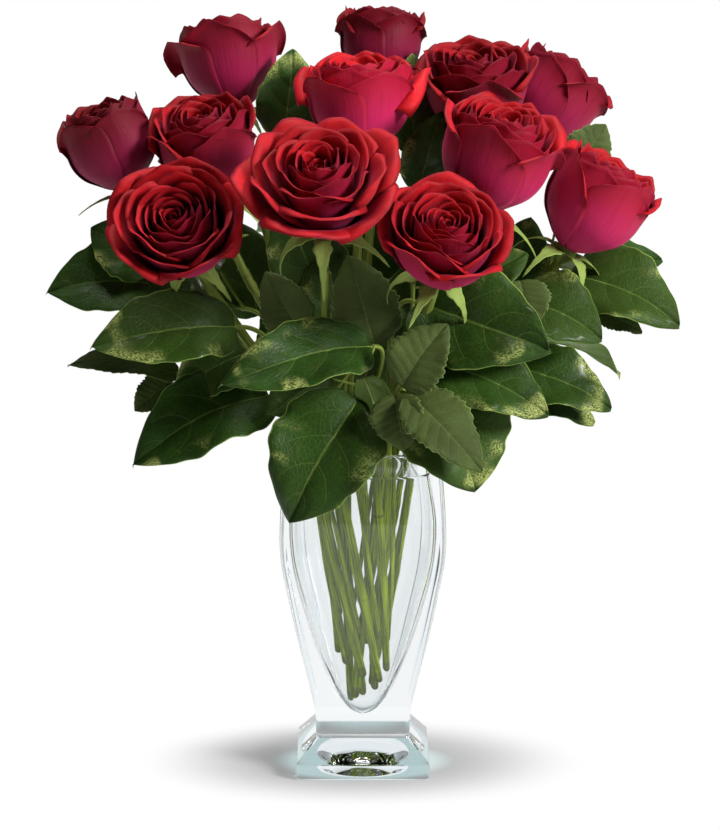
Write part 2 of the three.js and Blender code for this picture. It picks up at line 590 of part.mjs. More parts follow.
// The swollen calyx under the petals with its five sepals, as one closed surface. Each sepal is
// drawn out of a panel of the calyx: it widens, bends down and runs to a point.
function calyx(rose, grow) {
  const seed = Number(rose.name.slice(-2));
  const points = [];
  const triangles = [];
  const add = (p) => points.push(p) - 1;
  const ring = (radius, height) =>
    Array.from({ length: 10 }, (_, i) => {
      const azimuth = rad(rose.turn + 36 * i);
      const out = radius + grow;
      return add(new THREE.Vector3(out * Math.cos(azimuth), out * Math.sin(azimuth), height));
    });
  const panel = (a, b, c, d) => triangles.push([a, b, c], [a, c, d]);
  const rings = [
    ring(ROSE_STEM * 0.9, -13), ring(6.6, -7.5), ring(HEAD.calyx, -4), ring(HEAD.calyx - 1, grow - 1.2 * GAP),
  ];
  for (let i = 1; i < 9; i++) {
    triangles.push([rings[0][0], rings[0][i + 1], rings[0][i]]);
    triangles.push([rings[3][0], rings[3][i], rings[3][i + 1]]);
  }
  for (let k = 0; k < 3; k++)
    for (let i = 0; i < 10; i++) {
      const j = (i + 1) % 10;
      const [low, high] = [rings[k], rings[k + 1]];
      if (k !== 1 || i % 2) {
        panel(low[i], low[j], high[j], high[i]);
        continue;
      }
      const azimuth = rad(rose.turn + 36 * i + 18 + 14 * (draw(seed, 200 + i) - 0.5));
      const fall = 0.2 + 0.9 * draw(seed, 210 + i);
      const length = 32 + 8 * draw(seed, 220 + i);
      const out = new THREE.Vector3(Math.cos(azimuth), Math.sin(azimuth), 0);
      const across = new THREE.Vector3(-Math.sin(azimuth), Math.cos(azimuth), 0);
      const at = (s) => {
        const angle = 0.3 - 1.3 * fall * s;
        const centre = out.clone().multiplyScalar(7 + length * s * Math.cos(angle));
        centre.z = -6 + length * s * Math.sin(angle);
        return centre;
      };
      const middle = (side, lift) =>
        add(at(0.42).addScaledVector(across, side * (3.8 + 1.5 * grow)).setZ(at(0.42).z + lift));
      const [a, b, c, d] = [
        middle(-1, -0.5 - grow), middle(1, -0.5 - grow), middle(1, 0.5 + grow), middle(-1, 0.5 + grow),
      ];
      const tip = add(at(1 + grow / 12));
      panel(low[i], low[j], b, a);
      panel(low[j], high[j], c, b);
      panel(high[j], high[i], d, c);
      panel(high[i], low[i], a, d);
      triangles.push([a, b, tip], [b, c, tip], [c, d, tip], [d, a, tip]);
    }
  return surface(points, triangles);
}

// Where a rose's stem runs above the neck, ending inside the calyx.
function roseStemCurve(rose) {
  const facing = vec(rose.face).normalize();
  const end = new THREE.Vector3(0, 0, -11).applyMatrix4(headMatrix(rose));
  return upperStem(rose.ring, rose.bearing, end, facing, 0.3, 0.35);
}

function roseGreenSolid(rose, grow) {
  const stem = roseStemCurve(rose);
  const head = headMatrix(rose);
  const parts = [stemTube(rose.ring, rose.bearing, rose.cut, stem, ROSE_STEM + grow, STEM_SIDES.rose)];
  parts.push(calyx(rose, grow).applyMatrix4(head));
  ROSE_LEAVES.filter((leaf) => leaf.rose === rose.name).forEach((leaf) =>
    parts.push(leafBlade(leaf, ROSE_LEAF, stem.getPoint(leaf.stalk), grow)),
  );
  return mainBody(join(parts));
}

// ---- lemon-leaf sprigs -------------------------------------------------------------------------

// The sprig's stem ends at its first leaf, and the other leaves stand off it on stalks.
function sprigCurve(sprig) {
  const first = sprig.leaves[0];
  const arrive = vec(first.to).sub(vec(first.from)).normalize();
  return upperStem(OUTER_RING, sprig.bearing, vec(first.from), arrive, 0.3, 0.3);
}

// The point of a curve that lies nearest below a leaf's start.
function nearestOn(curve, target) {
  const steps = 40;
  let best = curve.getPoint(0);
  for (let k = 1; k < steps; k++) {
    const point = curve.getPoint(k / steps);
    if (point.distanceTo(target) < best.distanceTo(target)) best = point;
  }
  return best;
}

function sprigSolid(sprig, grow) {
  const stem = sprigCurve(sprig);
  const parts = [stemTube(OUTER_RING, sprig.bearing, sprig.cut, stem, LEAF_STEM + grow, STEM_SIDES.leaf)];
  sprig.leaves.forEach((leaf, k) => {
    const from = k ? nearestOn(stem, vec(leaf.from)) : stem.getPoint(0.96);
    parts.push(leafBlade(leaf, LEMON_LEAF, from, grow));
  });
  return mainBody(join(parts));
}

// ---- assembly ----------------------------------------------------------------------------------

const bouquet = new THREE.Group();
const placed = []; // what is already there, grown by the gap that later solids keep to it

function toMesh(name, solid, colour, finish) {
  const geometry = geometryOf(solid);
  geometry.computeVertexNormals();
  const mesh = new THREE.Mesh(geometry, new THREE.MeshStandardMaterial({ color: colour, ...finish }));
  mesh.name = name;
  return mesh;
}

// Adds a solid, cut clear of everything placed before it.
function place(name, build, colour, finish) {
  let solid = build(0);
  const box = solid.boundingBox();
  const near = placed.filter((other) => boxesMeet(box, other.box)).map((other) => other.solid);
  if (near.length) solid = mainBody(solid.subtract(wasm.Manifold.union(near)));
  bouquet.add(toMesh(name, solid, colour, finish));
  const grown = build(GAP).add(solid);
  placed.push({ name, solid: grown, box: grown.boundingBox() });
}

const petalFinish = { roughness: 0.6, metalness: 0 };
const greenFinish = { roughness: 0.5, metalness: 0 };

place("vase", () => vaseSolid(), COLOURS.glass, { roughness: 0.03, metalness: 0 });
ROSES.forEach((rose) => {
  place(`${rose.name}_bloom`, (grow) => bloomSolid(rose, grow), COLOURS.petals, petalFinish);
});
ROSES.forEach((rose) => {
  place(`${rose.name}_stem`, (grow) => roseGreenSolid(rose, grow), COLOURS.stem, greenFinish);
});
SPRIGS.forEach((sprig) => place(sprig.name, (grow) => sprigSolid(sprig, grow), COLOURS.leaf, greenFinish));

const holes = [...ROSES, ...SPRIGS].map(({ ring = OUTER_RING, bearing, cut, face }) => {
  const radius = (face ? ROSE_STEM : LEAF_STEM) + 1.5 * GAP;
  const hole = new THREE.LineCurve3(bunchPoint(ring, bearing, cut - 1), bunchPoint(ring, bearing, NECK + 2));
  return tube(hole, radius, 1, STEM_SIDES.rose);
});
bouquet.add(toMesh("water", waterSolid(holes), COLOURS.water, { roughness: 0, metalness: 0 }));

export default bouquet;
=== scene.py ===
"""A dozen red roses with lemon leaf in a square-footed glass vase: the looks of its solids.

Shapes are worked out in millimetres, in the frame of the solids, and turned into metres when a
piece is made. Each point keeps its "place" on its own petal, leaf or stem (across, along, side)
and a "tone" that tells one petal or leaf from the next. The materials read both.
"""

import math
import random

import bmesh
import bpy
import numpy as np
from bpy.props import FloatProperty, FloatVectorProperty, PointerProperty
from mathutils import Matrix, Vector


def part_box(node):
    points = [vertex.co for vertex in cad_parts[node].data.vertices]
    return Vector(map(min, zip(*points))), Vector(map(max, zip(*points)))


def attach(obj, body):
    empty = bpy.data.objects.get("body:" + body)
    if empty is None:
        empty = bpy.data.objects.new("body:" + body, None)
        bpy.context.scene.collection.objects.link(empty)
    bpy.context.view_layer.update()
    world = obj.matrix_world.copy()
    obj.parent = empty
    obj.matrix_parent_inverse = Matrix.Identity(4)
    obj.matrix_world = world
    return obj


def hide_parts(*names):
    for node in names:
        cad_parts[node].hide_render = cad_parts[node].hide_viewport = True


bl_info = {
    "name": "Roses in a vase",
    "version": (1, 0, 0),
    "blender": (4, 5, 0),
    "location": "View3D > Sidebar > Roses",
    "description": "Builds a dozen roses with lemon leaf in a glass vase round the packed solids",
    "category": "Object",
}

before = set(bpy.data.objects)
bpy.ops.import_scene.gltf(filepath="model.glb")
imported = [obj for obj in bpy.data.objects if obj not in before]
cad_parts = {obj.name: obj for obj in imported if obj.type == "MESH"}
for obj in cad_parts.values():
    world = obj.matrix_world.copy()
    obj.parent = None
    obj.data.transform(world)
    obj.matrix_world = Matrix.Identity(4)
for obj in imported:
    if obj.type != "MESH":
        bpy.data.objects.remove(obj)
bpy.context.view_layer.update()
MM = 0.001

# ---- the bouquet's own measures, in millimetres and degrees ------------------------------------

# The foot: half its width, the tops of its upright side and of its slope, how round its corners
# and its bottom edge are, the bevel over its side, and where and how round its slope begins.
FOOT_HALF, FOOT_SLAB, FOOT_TOP = 44.5, 11.5, 26
FOOT_CORNER, FOOT_EDGE = 2.2, 1.6
BEVEL_IN, BEVEL_DOWN = 1.1, 1.6
SLOPE_IN, SLOPE_CORNER = 0.8, 2.4
DIMPLE_RADIUS, DIMPLE_DEPTH = 31, 5.1

# The vase's outside and its hollow as (height, half width), its corners and its round lip.
VASE_OUTSIDE = [
    (26, 31.2), (44, 32), (60, 35.1), (97, 43.4), (127, 49.4), (154, 54), (180, 54.3), (222, 51.2),
]
VASE_INSIDE = [
    (39, 3.5), (42, 8.6), (49.5, 14.4), (61, 20.6), (90, 32), (125, 42), (152, 47.4), (176, 48.4),
    (206, 43.8), (222, 42.8),
]
VASE_CORNER, VASE_LIP = 3.5, 2.4
MOUTH_SQUARE, SQUARE_FROM = 0.5, 0.6  # how square the hollow gets, and how far up it is so
HOLLOW_END = 0.7  # depth of the rounding at the hollow's bottom

# The water: how far it goes into the glass, how far it climbs at its edge, and its surface as
# (distance from the edge, share of the climb).
WATER_FILM, WATER_CLIMB = 0.12, 1.3
WATER_EDGE = [(0.5, 0.75), (1.3, 0.35), (2.6, 0.08), (4.5, 0)]

# The bunch of stems: the heights where it starts and ends, how far it closes, and its two rings
# as (radius, twist).
NECK, STEM_FOOT, STEM_SQUEEZE = 212, 56, 0.5
OUTER_RING = (37, 72)
INNER_RING = (20, -72)

# Radii, how far the ends of a stem hold its direction, how many leaf scars it has with their
# length and swelling, and a rose's thorns with their least and greatest length.
ROSE_STEM, LEAF_STEM, PETIOLE = 3, 1.6, 0.9
ROSE_PULLS, LEAF_PULLS = (0.3, 0.35), (0.3, 0.3)
ROSE_SCARS, LEAF_SCARS, SCAR_LENGTH, SCAR_SWELL = 4, 3, 2.4, 0.22
THORNS, THORN_LENGTH = 5, (2.4, 3.6)
FIRST_STALK = 0.96  # how far up a sprig's stem its first leaf's stalk leaves it

# A head and what holds it, with heights from the head's base: the calyx as (radius, height), the
# top of the stem, and the sepals: how far out and how high they start, their half width, and
# their length and fall, each with how much more it can be.
HEAD_HEIGHT = 64
CALYX_LINE = [(2.9, -14), (3.4, -12), (6.3, -8), (7.5, -4), (6.6, -1), (5.5, 0.5)]
STEM_TOP = -11
SEPAL_OUT, SEPAL_UP, SEPAL_HALF = 7, -6, 5.2
SEPAL_LENGTH, SEPAL_FALL = (32, 8), (0.2, 0.9)

BLOOM_SEED, GREEN_SEED = 100, 300

# name, head's middle, facing, size, opening, turn, ring, bearing, height of the cut end
ROSES = [
    ("rose_01", (-166, 14, 419), (-0.34, -0.1, 0.93), 0.93, 0.0, 20, OUTER_RING, 174, 78),
    ("rose_02", (-117, -60, 372), (-0.14, -0.82, 0.55), 1.0, 0.5, 70, OUTER_RING, 206, 70),
    ("rose_03", (-103, 4, 418), (-0.15, -0.38, 0.91), 0.98, 0.15, 10, INNER_RING, 166, 52),
    ("rose_04", (-90, 72, 469), (-0.16, 0.2, 0.96), 0.97, 0.4, 50, OUTER_RING, 138, 84),
    ("rose_05", (-27, -86, 402), (-0.04, -0.58, 0.81), 1.03, 1.0, 35, OUTER_RING, 242, 66),
    ("rose_06", (-2, 6, 448), (0, -0.1, 1), 1.02, 0.4, 5, INNER_RING, 238, 49),
    ("rose_07", (12, 86, 480), (0.03, 0.05, 1), 0.84, 0.05, 80, INNER_RING, 94, 57),
    ("rose_08", (51, -88, 368), (0.1, -0.68, 0.73), 0.96, 0.5, 15, OUTER_RING, 283, 72),
    ("rose_09", (75, 40, 452), (-0.04, -0.33, 0.94), 1.0, 0.4, 60, INNER_RING, 22, 62),
    ("rose_10", (127, 86, 443), (0.55, 0.12, 0.83), 0.98, 0.2, 25, OUTER_RING, 34, 88),
    ("rose_11", (86, -34, 416), (0.3, -0.26, 0.92), 1.11, 0.2, 40, INNER_RING, 310, 54),
    ("rose_12", (152, -6, 383), (0.5, -0.1, 0.86), 1.05, 0.15, 75, OUTER_RING, 357, 76),
]

# rose, leaf's start, end, width, the way its upper face looks, bow, how far up the stem it grows
ROSE_LEAVES = [
    ("rose_01", (-122, 8, 266), (-196, 2, 276), 32, (0.1, -0.5, 0.85), 0.08, 0.3),
    ("rose_01", (-128, 4, 262), (-152, -4, 244), 27, (-0.2, -0.8, 0.5), 0.05, 0.3),
    ("rose_03", (-114, 50, 394), (-134, 54, 440), 34, (-0.2, -0.95, 0.1), 0.06, 0.72),
    ("rose_05", (8, -34, 292), (-10, -42, 352), 49, (0.1, -0.95, 0.25), 0.06, 0.3),
    ("rose_05", (-40, -26, 300), (-64, -34, 340), 37, (-0.1, -0.95, 0.2), 0.06, 0.45),
    ("rose_08", (24, -82, 274), (52, -86, 316), 41, (-0.15, -0.93, 0.3), 0.05, 0.32),
    ("rose_08", (20, -84, 270), (26, -96, 236), 37, (-0.25, -0.9, 0.3), 0.08, 0.32),
    ("rose_08", (27, -86, 270), (76, -108, 226), 44, (0.25, -0.8, 0.5), 0.08, 0.32),
    ("rose_10", (118, 72, 330), (170, 96, 312), 41, (0.2, 0.4, 0.9), 0.1, 0.55),
    ("rose_11", (102, -32, 336), (108, -44, 304), 36, (0.1, -0.9, 0.3), 0.05, 0.6),
    ("rose_12", (152, 2, 310), (186, 0, 297), 24, (0.2, -0.7, 0.7), 0.05, 0.7),
    ("rose_12", (136, 28, 396), (163, 34, 430), 37, (0.1, -0.97, 0.1), 0.05, 0.9),
    ("rose_07", (2, 92, 400), (-38, 118, 388), 39, (-0.1, 0.7, 0.7), 0.1, 0.75),
]

# sprig, bearing, height of the cut end, and its leaves: start, end, width, upper face, bow
SPRIGS = [
    ("sprig_left", 189, 112, [
        ((-132, 2, 327), (-206, -24, 328), 58, (0.05, -0.76, 0.65), 0.1),
        ((-100, 14, 314), (-152, -8, 326), 46, (0.05, -0.8, 0.6), 0.1),
        ((-136, -12, 342), (-178, -10, 368), 44, (-0.3, -0.8, 0.5), 0.08),
    ]),
    ("sprig_front_left", 222, 100, [
        ((-82, -28, 304), (-174, -62, 298), 58, (0, -0.76, 0.65), 0.09),
        ((-60, -24, 258), (-151, -56, 222), 62, (-0.1, -0.75, 0.65), 0.12),
        ((-76, -20, 286), (-124, -26, 262), 44, (0, -0.8, 0.6), 0.08),
    ]),
    ("sprig_front", 262, 96, [
        ((6, -52, 295), (-88, -112, 284), 50, (0.05, -0.78, 0.62), 0.1),
        ((-2, -62, 264), (-48, -90, 188), 74, (-0.15, -0.92, 0.35), 0.08),
        ((-20, -44, 274), (-62, -62, 254), 40, (-0.05, -0.8, 0.6), 0.08),
        ((0, -68, 279), (12, -88, 228), 30, (0.55, 0.8, -0.1), 0.1),
    ]),
    ("sprig_front_right", 304, 92, [
        ((34, -36, 322), (116, -90, 300), 74, (0, -0.93, 0.36), 0.06),
        ((60, -30, 322), (106, -34, 354), 40, (-0.1, -0.88, 0.45), 0.08),
        ((46, -58, 285), (119, -84, 260), 52, (0.05, -0.82, 0.57), 0.1),
        ((46, -56, 266), (72, -86, 208), 78, (0.2, -0.92, 0.33), 0.08),
    ]),
    ("sprig_right", 340, 108, [
        ((100, -14, 321), (156, -38, 300), 54, (0.1, -0.82, 0.57), 0.1),
        ((96, -12, 276), (164, -26, 251), 46, (0.05, -0.75, 0.65), 0.08),
        ((88, -4, 262), (155, -8, 238), 40, (0.05, -0.65, 0.75), 0.08),
    ]),
    ("sprig_far_right", 14, 116, [
        ((136, 18, 332), (209, -14, 306), 60, (0.15, -0.76, 0.64), 0.1),
        ((146, 44, 324), (200, 34, 342), 42, (0.1, -0.7, 0.7), 0.1),
        ((106, 30, 284), (176, 50, 262), 50, (0.3, 0.2, 0.93), 0.1),
        ((98, 22, 316), (110, 18, 370), 46, (0, -0.97, 0.2), 0.06),
    ]),
    ("sprig_top_right", 50, 98, [
        ((34, 52, 408), (34, 62, 476), 34, (0, -0.97, 0.2), 0.05),
        ((36, 26, 386), (52, 12, 440), 34, (-0.1, -0.97, 0.2), 0.05),
        ((50, 74, 330), (104, 126, 334), 52, (0.2, 0.45, 0.87), 0.1),
        ((48, 36, 318), (66, 24, 382), 52, (-0.1, -0.96, 0.2), 0.06),
        ((33, 58, 276), (37, 60, 338), 46, (0, -0.97, 0.2), 0.06),
        ((38, 42, 246), (57, 50, 306), 50, (-0.1, -0.97, 0.2), 0.06),
    ]),
    ("sprig_back_right", 74, 106, [
        ((6, 78, 314), (10, 138, 300), 56, (0, 0.5, 0.87), 0.12),
        ((46, 72, 288), (96, 136, 268), 54, (0.25, 0.55, 0.8), 0.12),
        ((30, 60, 262), (52, 112, 206), 58, (0.1, 0.85, 0.5), 0.1),
        ((-6, 62, 270), (-26, 128, 236), 56, (-0.05, 0.7, 0.7), 0.12),
        ((6, 74, 318), (4, 76, 386), 54, (0, -0.97, 0.2), 0.06),
        ((4, 18, 244), (-2, 2, 310), 58, (0, -0.97, 0.2), 0.06),
    ]),
    ("sprig_top_left", 112, 110, [
        ((-53, 36, 420), (-46, 44, 480), 42, (-0.05, -0.97, 0.2), 0.05),
        ((-34, 78, 344), (-66, 134, 346), 52, (-0.2, 0.45, 0.87), 0.1),
        ((-30, 44, 312), (-52, 22, 380), 54, (0.1, -0.96, 0.2), 0.06),
        ((-12, 40, 288), (-26, 32, 350), 50, (0, -0.97, 0.2), 0.06),
        ((-34, 42, 250), (-58, 50, 318), 56, (0.1, -0.97, 0.2), 0.06),
    ]),
    ("sprig_back_left", 156, 102, [
        ((-82, 48, 304), (-152, 92, 290), 58, (-0.2, 0.4, 0.9), 0.12),
        ((-60, 48, 262), (-112, 92, 218), 58, (-0.4, 0.6, 0.7), 0.1),
        ((-94, 48, 330), (-166, 74, 334), 50, (-0.2, -0.2, 0.95), 0.1),
        ((-71, 60, 296), (-89, 62, 364), 54, (0.1, -0.97, 0.2), 0.05),
    ]),
]

# Petals of a head, from the outside in. Each layer is a ring of petals on one cup: its line as
# (radius, height) in a shut head, what opening adds to that line, how many petals there are, the
# bearing of the first, half the bearing that a petal covers at its root and at its widest, how far
# its right edge stands out over its left, and the length of its lip with the least and most that
# it turns outwards.
LAYERS = [
    dict(line=[(6, -1), (12, 2.5), (18, 8), (26.5, 17), (30.5, 27), (30.6, 38), (29.6, 46)],
         opened=[(0, 0), (0, 0), (0, 0), (0.5, 0), (2.5, -1), (8, -4), (13, -7)],
         count=5, offset=0, root=36, reach=50, overlap=1.1, lip=12, turn=(0.7, 1.7)),
    dict(line=[(6, 0), (11, 4), (16.5, 9.5), (24, 19), (27.8, 30), (27.6, 42), (26.4, 50)],
         opened=[(0, 0), (0, 0), (0, 0), (0, 0), (2, -1), (6, -3), (10, -6)],
         count=5, offset=33, root=36, reach=52, overlap=0.8, lip=9.5, turn=(0.4, 1.3)),
    dict(line=[(5, 2), (13.5, 11), (21, 22), (24.4, 33), (23.8, 45), (22.6, 53)],
         opened=[(0, 0), (0, 0), (0, 0), (1, 0), (4, -2), (7, -4)],
         count=5, offset=8, root=38, reach=55, overlap=0.8, lip=7, turn=(0.3, 1.1)),
    dict(line=[(5, 5), (12, 15), (18.5, 27), (20.8, 38), (19.6, 49), (18.4, 55.5)],
         opened=[(0, 0), (0, 0), (0, 0), (0.8, 0), (2.5, -1), (5, -3)],
         count=5, offset=47, root=40, reach=58, overlap=0.8, lip=5, turn=(0.2, 0.9)),
    dict(line=[(4, 8), (11, 21), (16, 33), (16.6, 45), (14.8, 56)],
         opened=[(0, 0), (0, 0), (0.4, 0), (1.6, -1), (3.6, -2)],
         count=4, offset=12, root=45, reach=66, overlap=1.3, lip=3.8, turn=(0.2, 1.0)),
    dict(line=[(4, 12), (10, 27), (12.8, 41), (11, 57)],
         opened=[(0, 0), (0, 0), (1, -1), (2.4, -2)],
         count=4, offset=60, root=48, reach=74, overlap=1.4, lip=3, turn=(0.2, 0.9)),
    dict(line=[(3, 16), (7.5, 32), (9.2, 45), (7.4, 57)],
         opened=[(0, 0), (0, 0), (0.6, -1), (1.5, -3)],
         count=3, offset=25, root=60, reach=88, overlap=1.4, lip=2.4, turn=(0.1, 0.8)),
    dict(line=[(2, 20), (5, 36), (5.8, 47), (4.4, 56)],
         opened=[(0, 0), (0, 0), (0.3, -2), (0.8, -4)],
         count=3, offset=85, root=60, reach=95, overlap=1.2, lip=1.8, turn=(0.1, 0.6)),
    dict(line=[(1.5, 24), (2.6, 40), (2.8, 48), (1.9, 55)],
         opened=[(0, 0), (0, 0), (0.2, -3), (0.4, -6)],
         count=2, offset=140, root=80, reach=150, overlap=0.8, lip=1.2, turn=(0.1, 0.5)),
]
# How far the outermost petals of some heads turn out, petal by petal from the head's own bearing.
OUTER_LIPS = {
    "rose_01": (0.3, 0.4, 0.7, 0.45, 0.5),
    "rose_04": (1.0, 1.1, 1.9, 0.8, 1.6),
    "rose_06": (2.5, 0.9, 2.2, 0.35, 0.45),
    "rose_10": (1.8, 1.0, 0.8, 0.4, 1.0),
    "rose_11": (1.4, 1.0, 1.9, 0.25, 1.2),
    "rose_12": (0.8, 1.5, 0.5, 0.35, 1.2),
}
# Painted light and shade on the heads: how bright the red of a head is made for how the light
# falls on it, where it isn't the common red. Heads in shade are darker, lit heads brighter.
HEAD_PAINTED_LIGHT_AND_SHADE = {
    "rose_01": 0.5, "rose_03": 0.88, "rose_04": 0.8, "rose_06": 1.5, "rose_07": 0.55,
    "rose_09": 0.75, "rose_10": 0.8, "rose_11": 1.12, "rose_12": 1.15,
}
CUP_POINTS, PETAL_STEPS = 48, 120  # fine steps on a layer's line, and on a petal's
PETAL_ROWS, PETAL_COLUMNS = 22, 19  # the steps that its mesh keeps
WIDE_LIP = 9  # from this length of lip on, a petal ruffles and bends in full
MOST_BENT = 2.3  # radians
PETAL_THICKNESS, LEAF_THICKNESS = 0.45, 0.6

# rows along the blade, columns across, fold about the rib, wave of the margin, side veins on each
# side with how they rake and bend towards the tip, and the number and depth of the teeth
LEMON_LEAF = dict(
    rows=49, columns=17, fold=0.22, wave=0.035, veins=4.5, rake=0.9, bend=1.1, teeth=0, depth=0
)
ROSE_LEAF = dict(
    rows=53, columns=15, fold=0.2, wave=0.02, veins=8, rake=1.5, bend=0, teeth=13, depth=0.1
)
# relief of a blade: the cushions between its side veins, then the veins and the rib as
# (depth, half width)
CUSHION, VEIN_GROOVE, RIB_GROOVE = 0.55, (0.5, 0.1), (0.7, 0.07)
FULL_RELIEF = 50  # a narrower leaf has less

# ---- finishes and the studio --------------------------------------------------------------------

# What goes with a leaf's own colour: its veins, its underside, how rough it is, how much wax lies
# on it, which also sets how strongly glints are painted on, and how strongly brown mottles it.
LEMON_LOOK = dict(
    vein=(0.15, 0.22, 0.045), underside=(0.12, 0.2, 0.04), rough=0.36, wax_and_glint=0.8, mottle=0.3
)
ROSE_LOOK = dict(
    vein=(0.14, 0.2, 0.06), underside=(0.1, 0.14, 0.05), rough=0.5, wax_and_glint=0.0, mottle=0.1
)
SEPAL_LOOK = dict(
    vein=(0.34, 0.45, 0.1), underside=(0.22, 0.3, 0.07), rough=0.5, wax_and_glint=0.0, mottle=0.1
)
# a brown for mottles, and a pale yellow for glints painted on the wax
LEAF_BROWN, LEAF_PAINTED_GLINT = (0.1, 0.09, 0.02), (0.45, 0.5, 0.15)
STEM_SPOT, STEM_SCAR = (0.16, 0.16, 0.05), (0.09, 0.055, 0.02)
# Painted light and shade on the stems: what their green is multiplied by below the neck, as light
# through the glass and water, and between which heights, in metres, it fades to the plain green,
# which is darker as painted shade inside the bunch.
STEM_PAINTED_LIGHT_IN_WATER, PAINTED_LIGHT_FADE = (2.1, 2.25, 0.1), (0.19, 0.225)
PETAL_SHEEN = (1.0, 0.18, 0.4)
# Where a plant's finishes stand in its list.
STEM_PART, LEAF_PART, SEPAL_PART = 0, 1, 2

# black, white, and the sea-green of the pool of light painted on the floor under the glass
WHITE, BLACK, PAINTED_POOL_UNDER_GLASS = (1, 1, 1), (0, 0, 0), (0.72, 0.93, 0.94)
FLOOR_HALF = 6  # metres
FLOOR_SHADOW = (0.055, 0.155)  # where the floor's shadows start to fade and where they end
FLOOR_STRETCH = (1, 1.5, 1)  # the fade is an oval, narrower from front to back

ROOM_COLOUR = (0.93, 0.97, 1)
ROOM_DIM, ROOM_BRIGHT, ROOM_ASIDE = (-0.6, 0.1), (0.7, 0.95), 0.45
ROOM_DIMMER = 0.2  # how bright the room is for what it lights, as a share of what glass shows

# name, place, aim, width and height in metres, and watts
LAMPS = [
    ("key_light", (1.6, -1.1, 1.2), (0, 0, 0.38), 0.6, 0.6, 72),
    ("fill_light", (-1.6, -1.3, 1.0), (0, 0, 0.35), 0.7, 1.2, 1.5),
    ("top_light", (0.05, 0.1, 2.2), (0, 0, 0.3), 1.0, 1.0, 46),
]
CAMERA_ASIDE, FILM_WIDTH = -0.0019, 36  # metres, millimetres

# ---- points and sheets --------------------------------------------------------------------------


def unit(v):
    """The vector, or each vector of an array, at length 1."""
    v = np.asarray(v, float)
    return v / np.maximum(np.linalg.norm(v, axis=-1, keepdims=True), 1e-9)


def distances(path):
    """How far along a path each of its points lies."""
    return np.concatenate([[0], np.cumsum(np.linalg.norm(np.diff(path, axis=0), axis=1))])


def swing(x, rng):
    """A wave along x that starts anywhere."""
    return np.sin(x + rng.random() * 6)


def smooth_line(points, count):
    """A smooth line through a few points, sampled at even steps of its length."""
    p = np.asarray(points, float)
    p = np.vstack([2 * p[0] - p[1], p, 2 * p[-1] - p[-2]])
    t = np.linspace(0, 1, 16, endpoint=False)[:, None]
    found = []
    for a, b, c, d in zip(p[:-3], p[1:-2], p[2:-1], p[3:]):
        square, cube = 2 * a - 5 * b + 4 * c - d, 3 * b - a - 3 * c + d
        found.append(0.5 * (2 * b + (c - a) * t + square * t**2 + cube * t**3))
    dense = np.vstack(found + [p[-2:-1]])
    way = distances(dense)
    even = np.linspace(0, way[-1], count)
    return np.stack([np.interp(even, way, dense[:, k]) for k in range(p.shape[1])], axis=1)


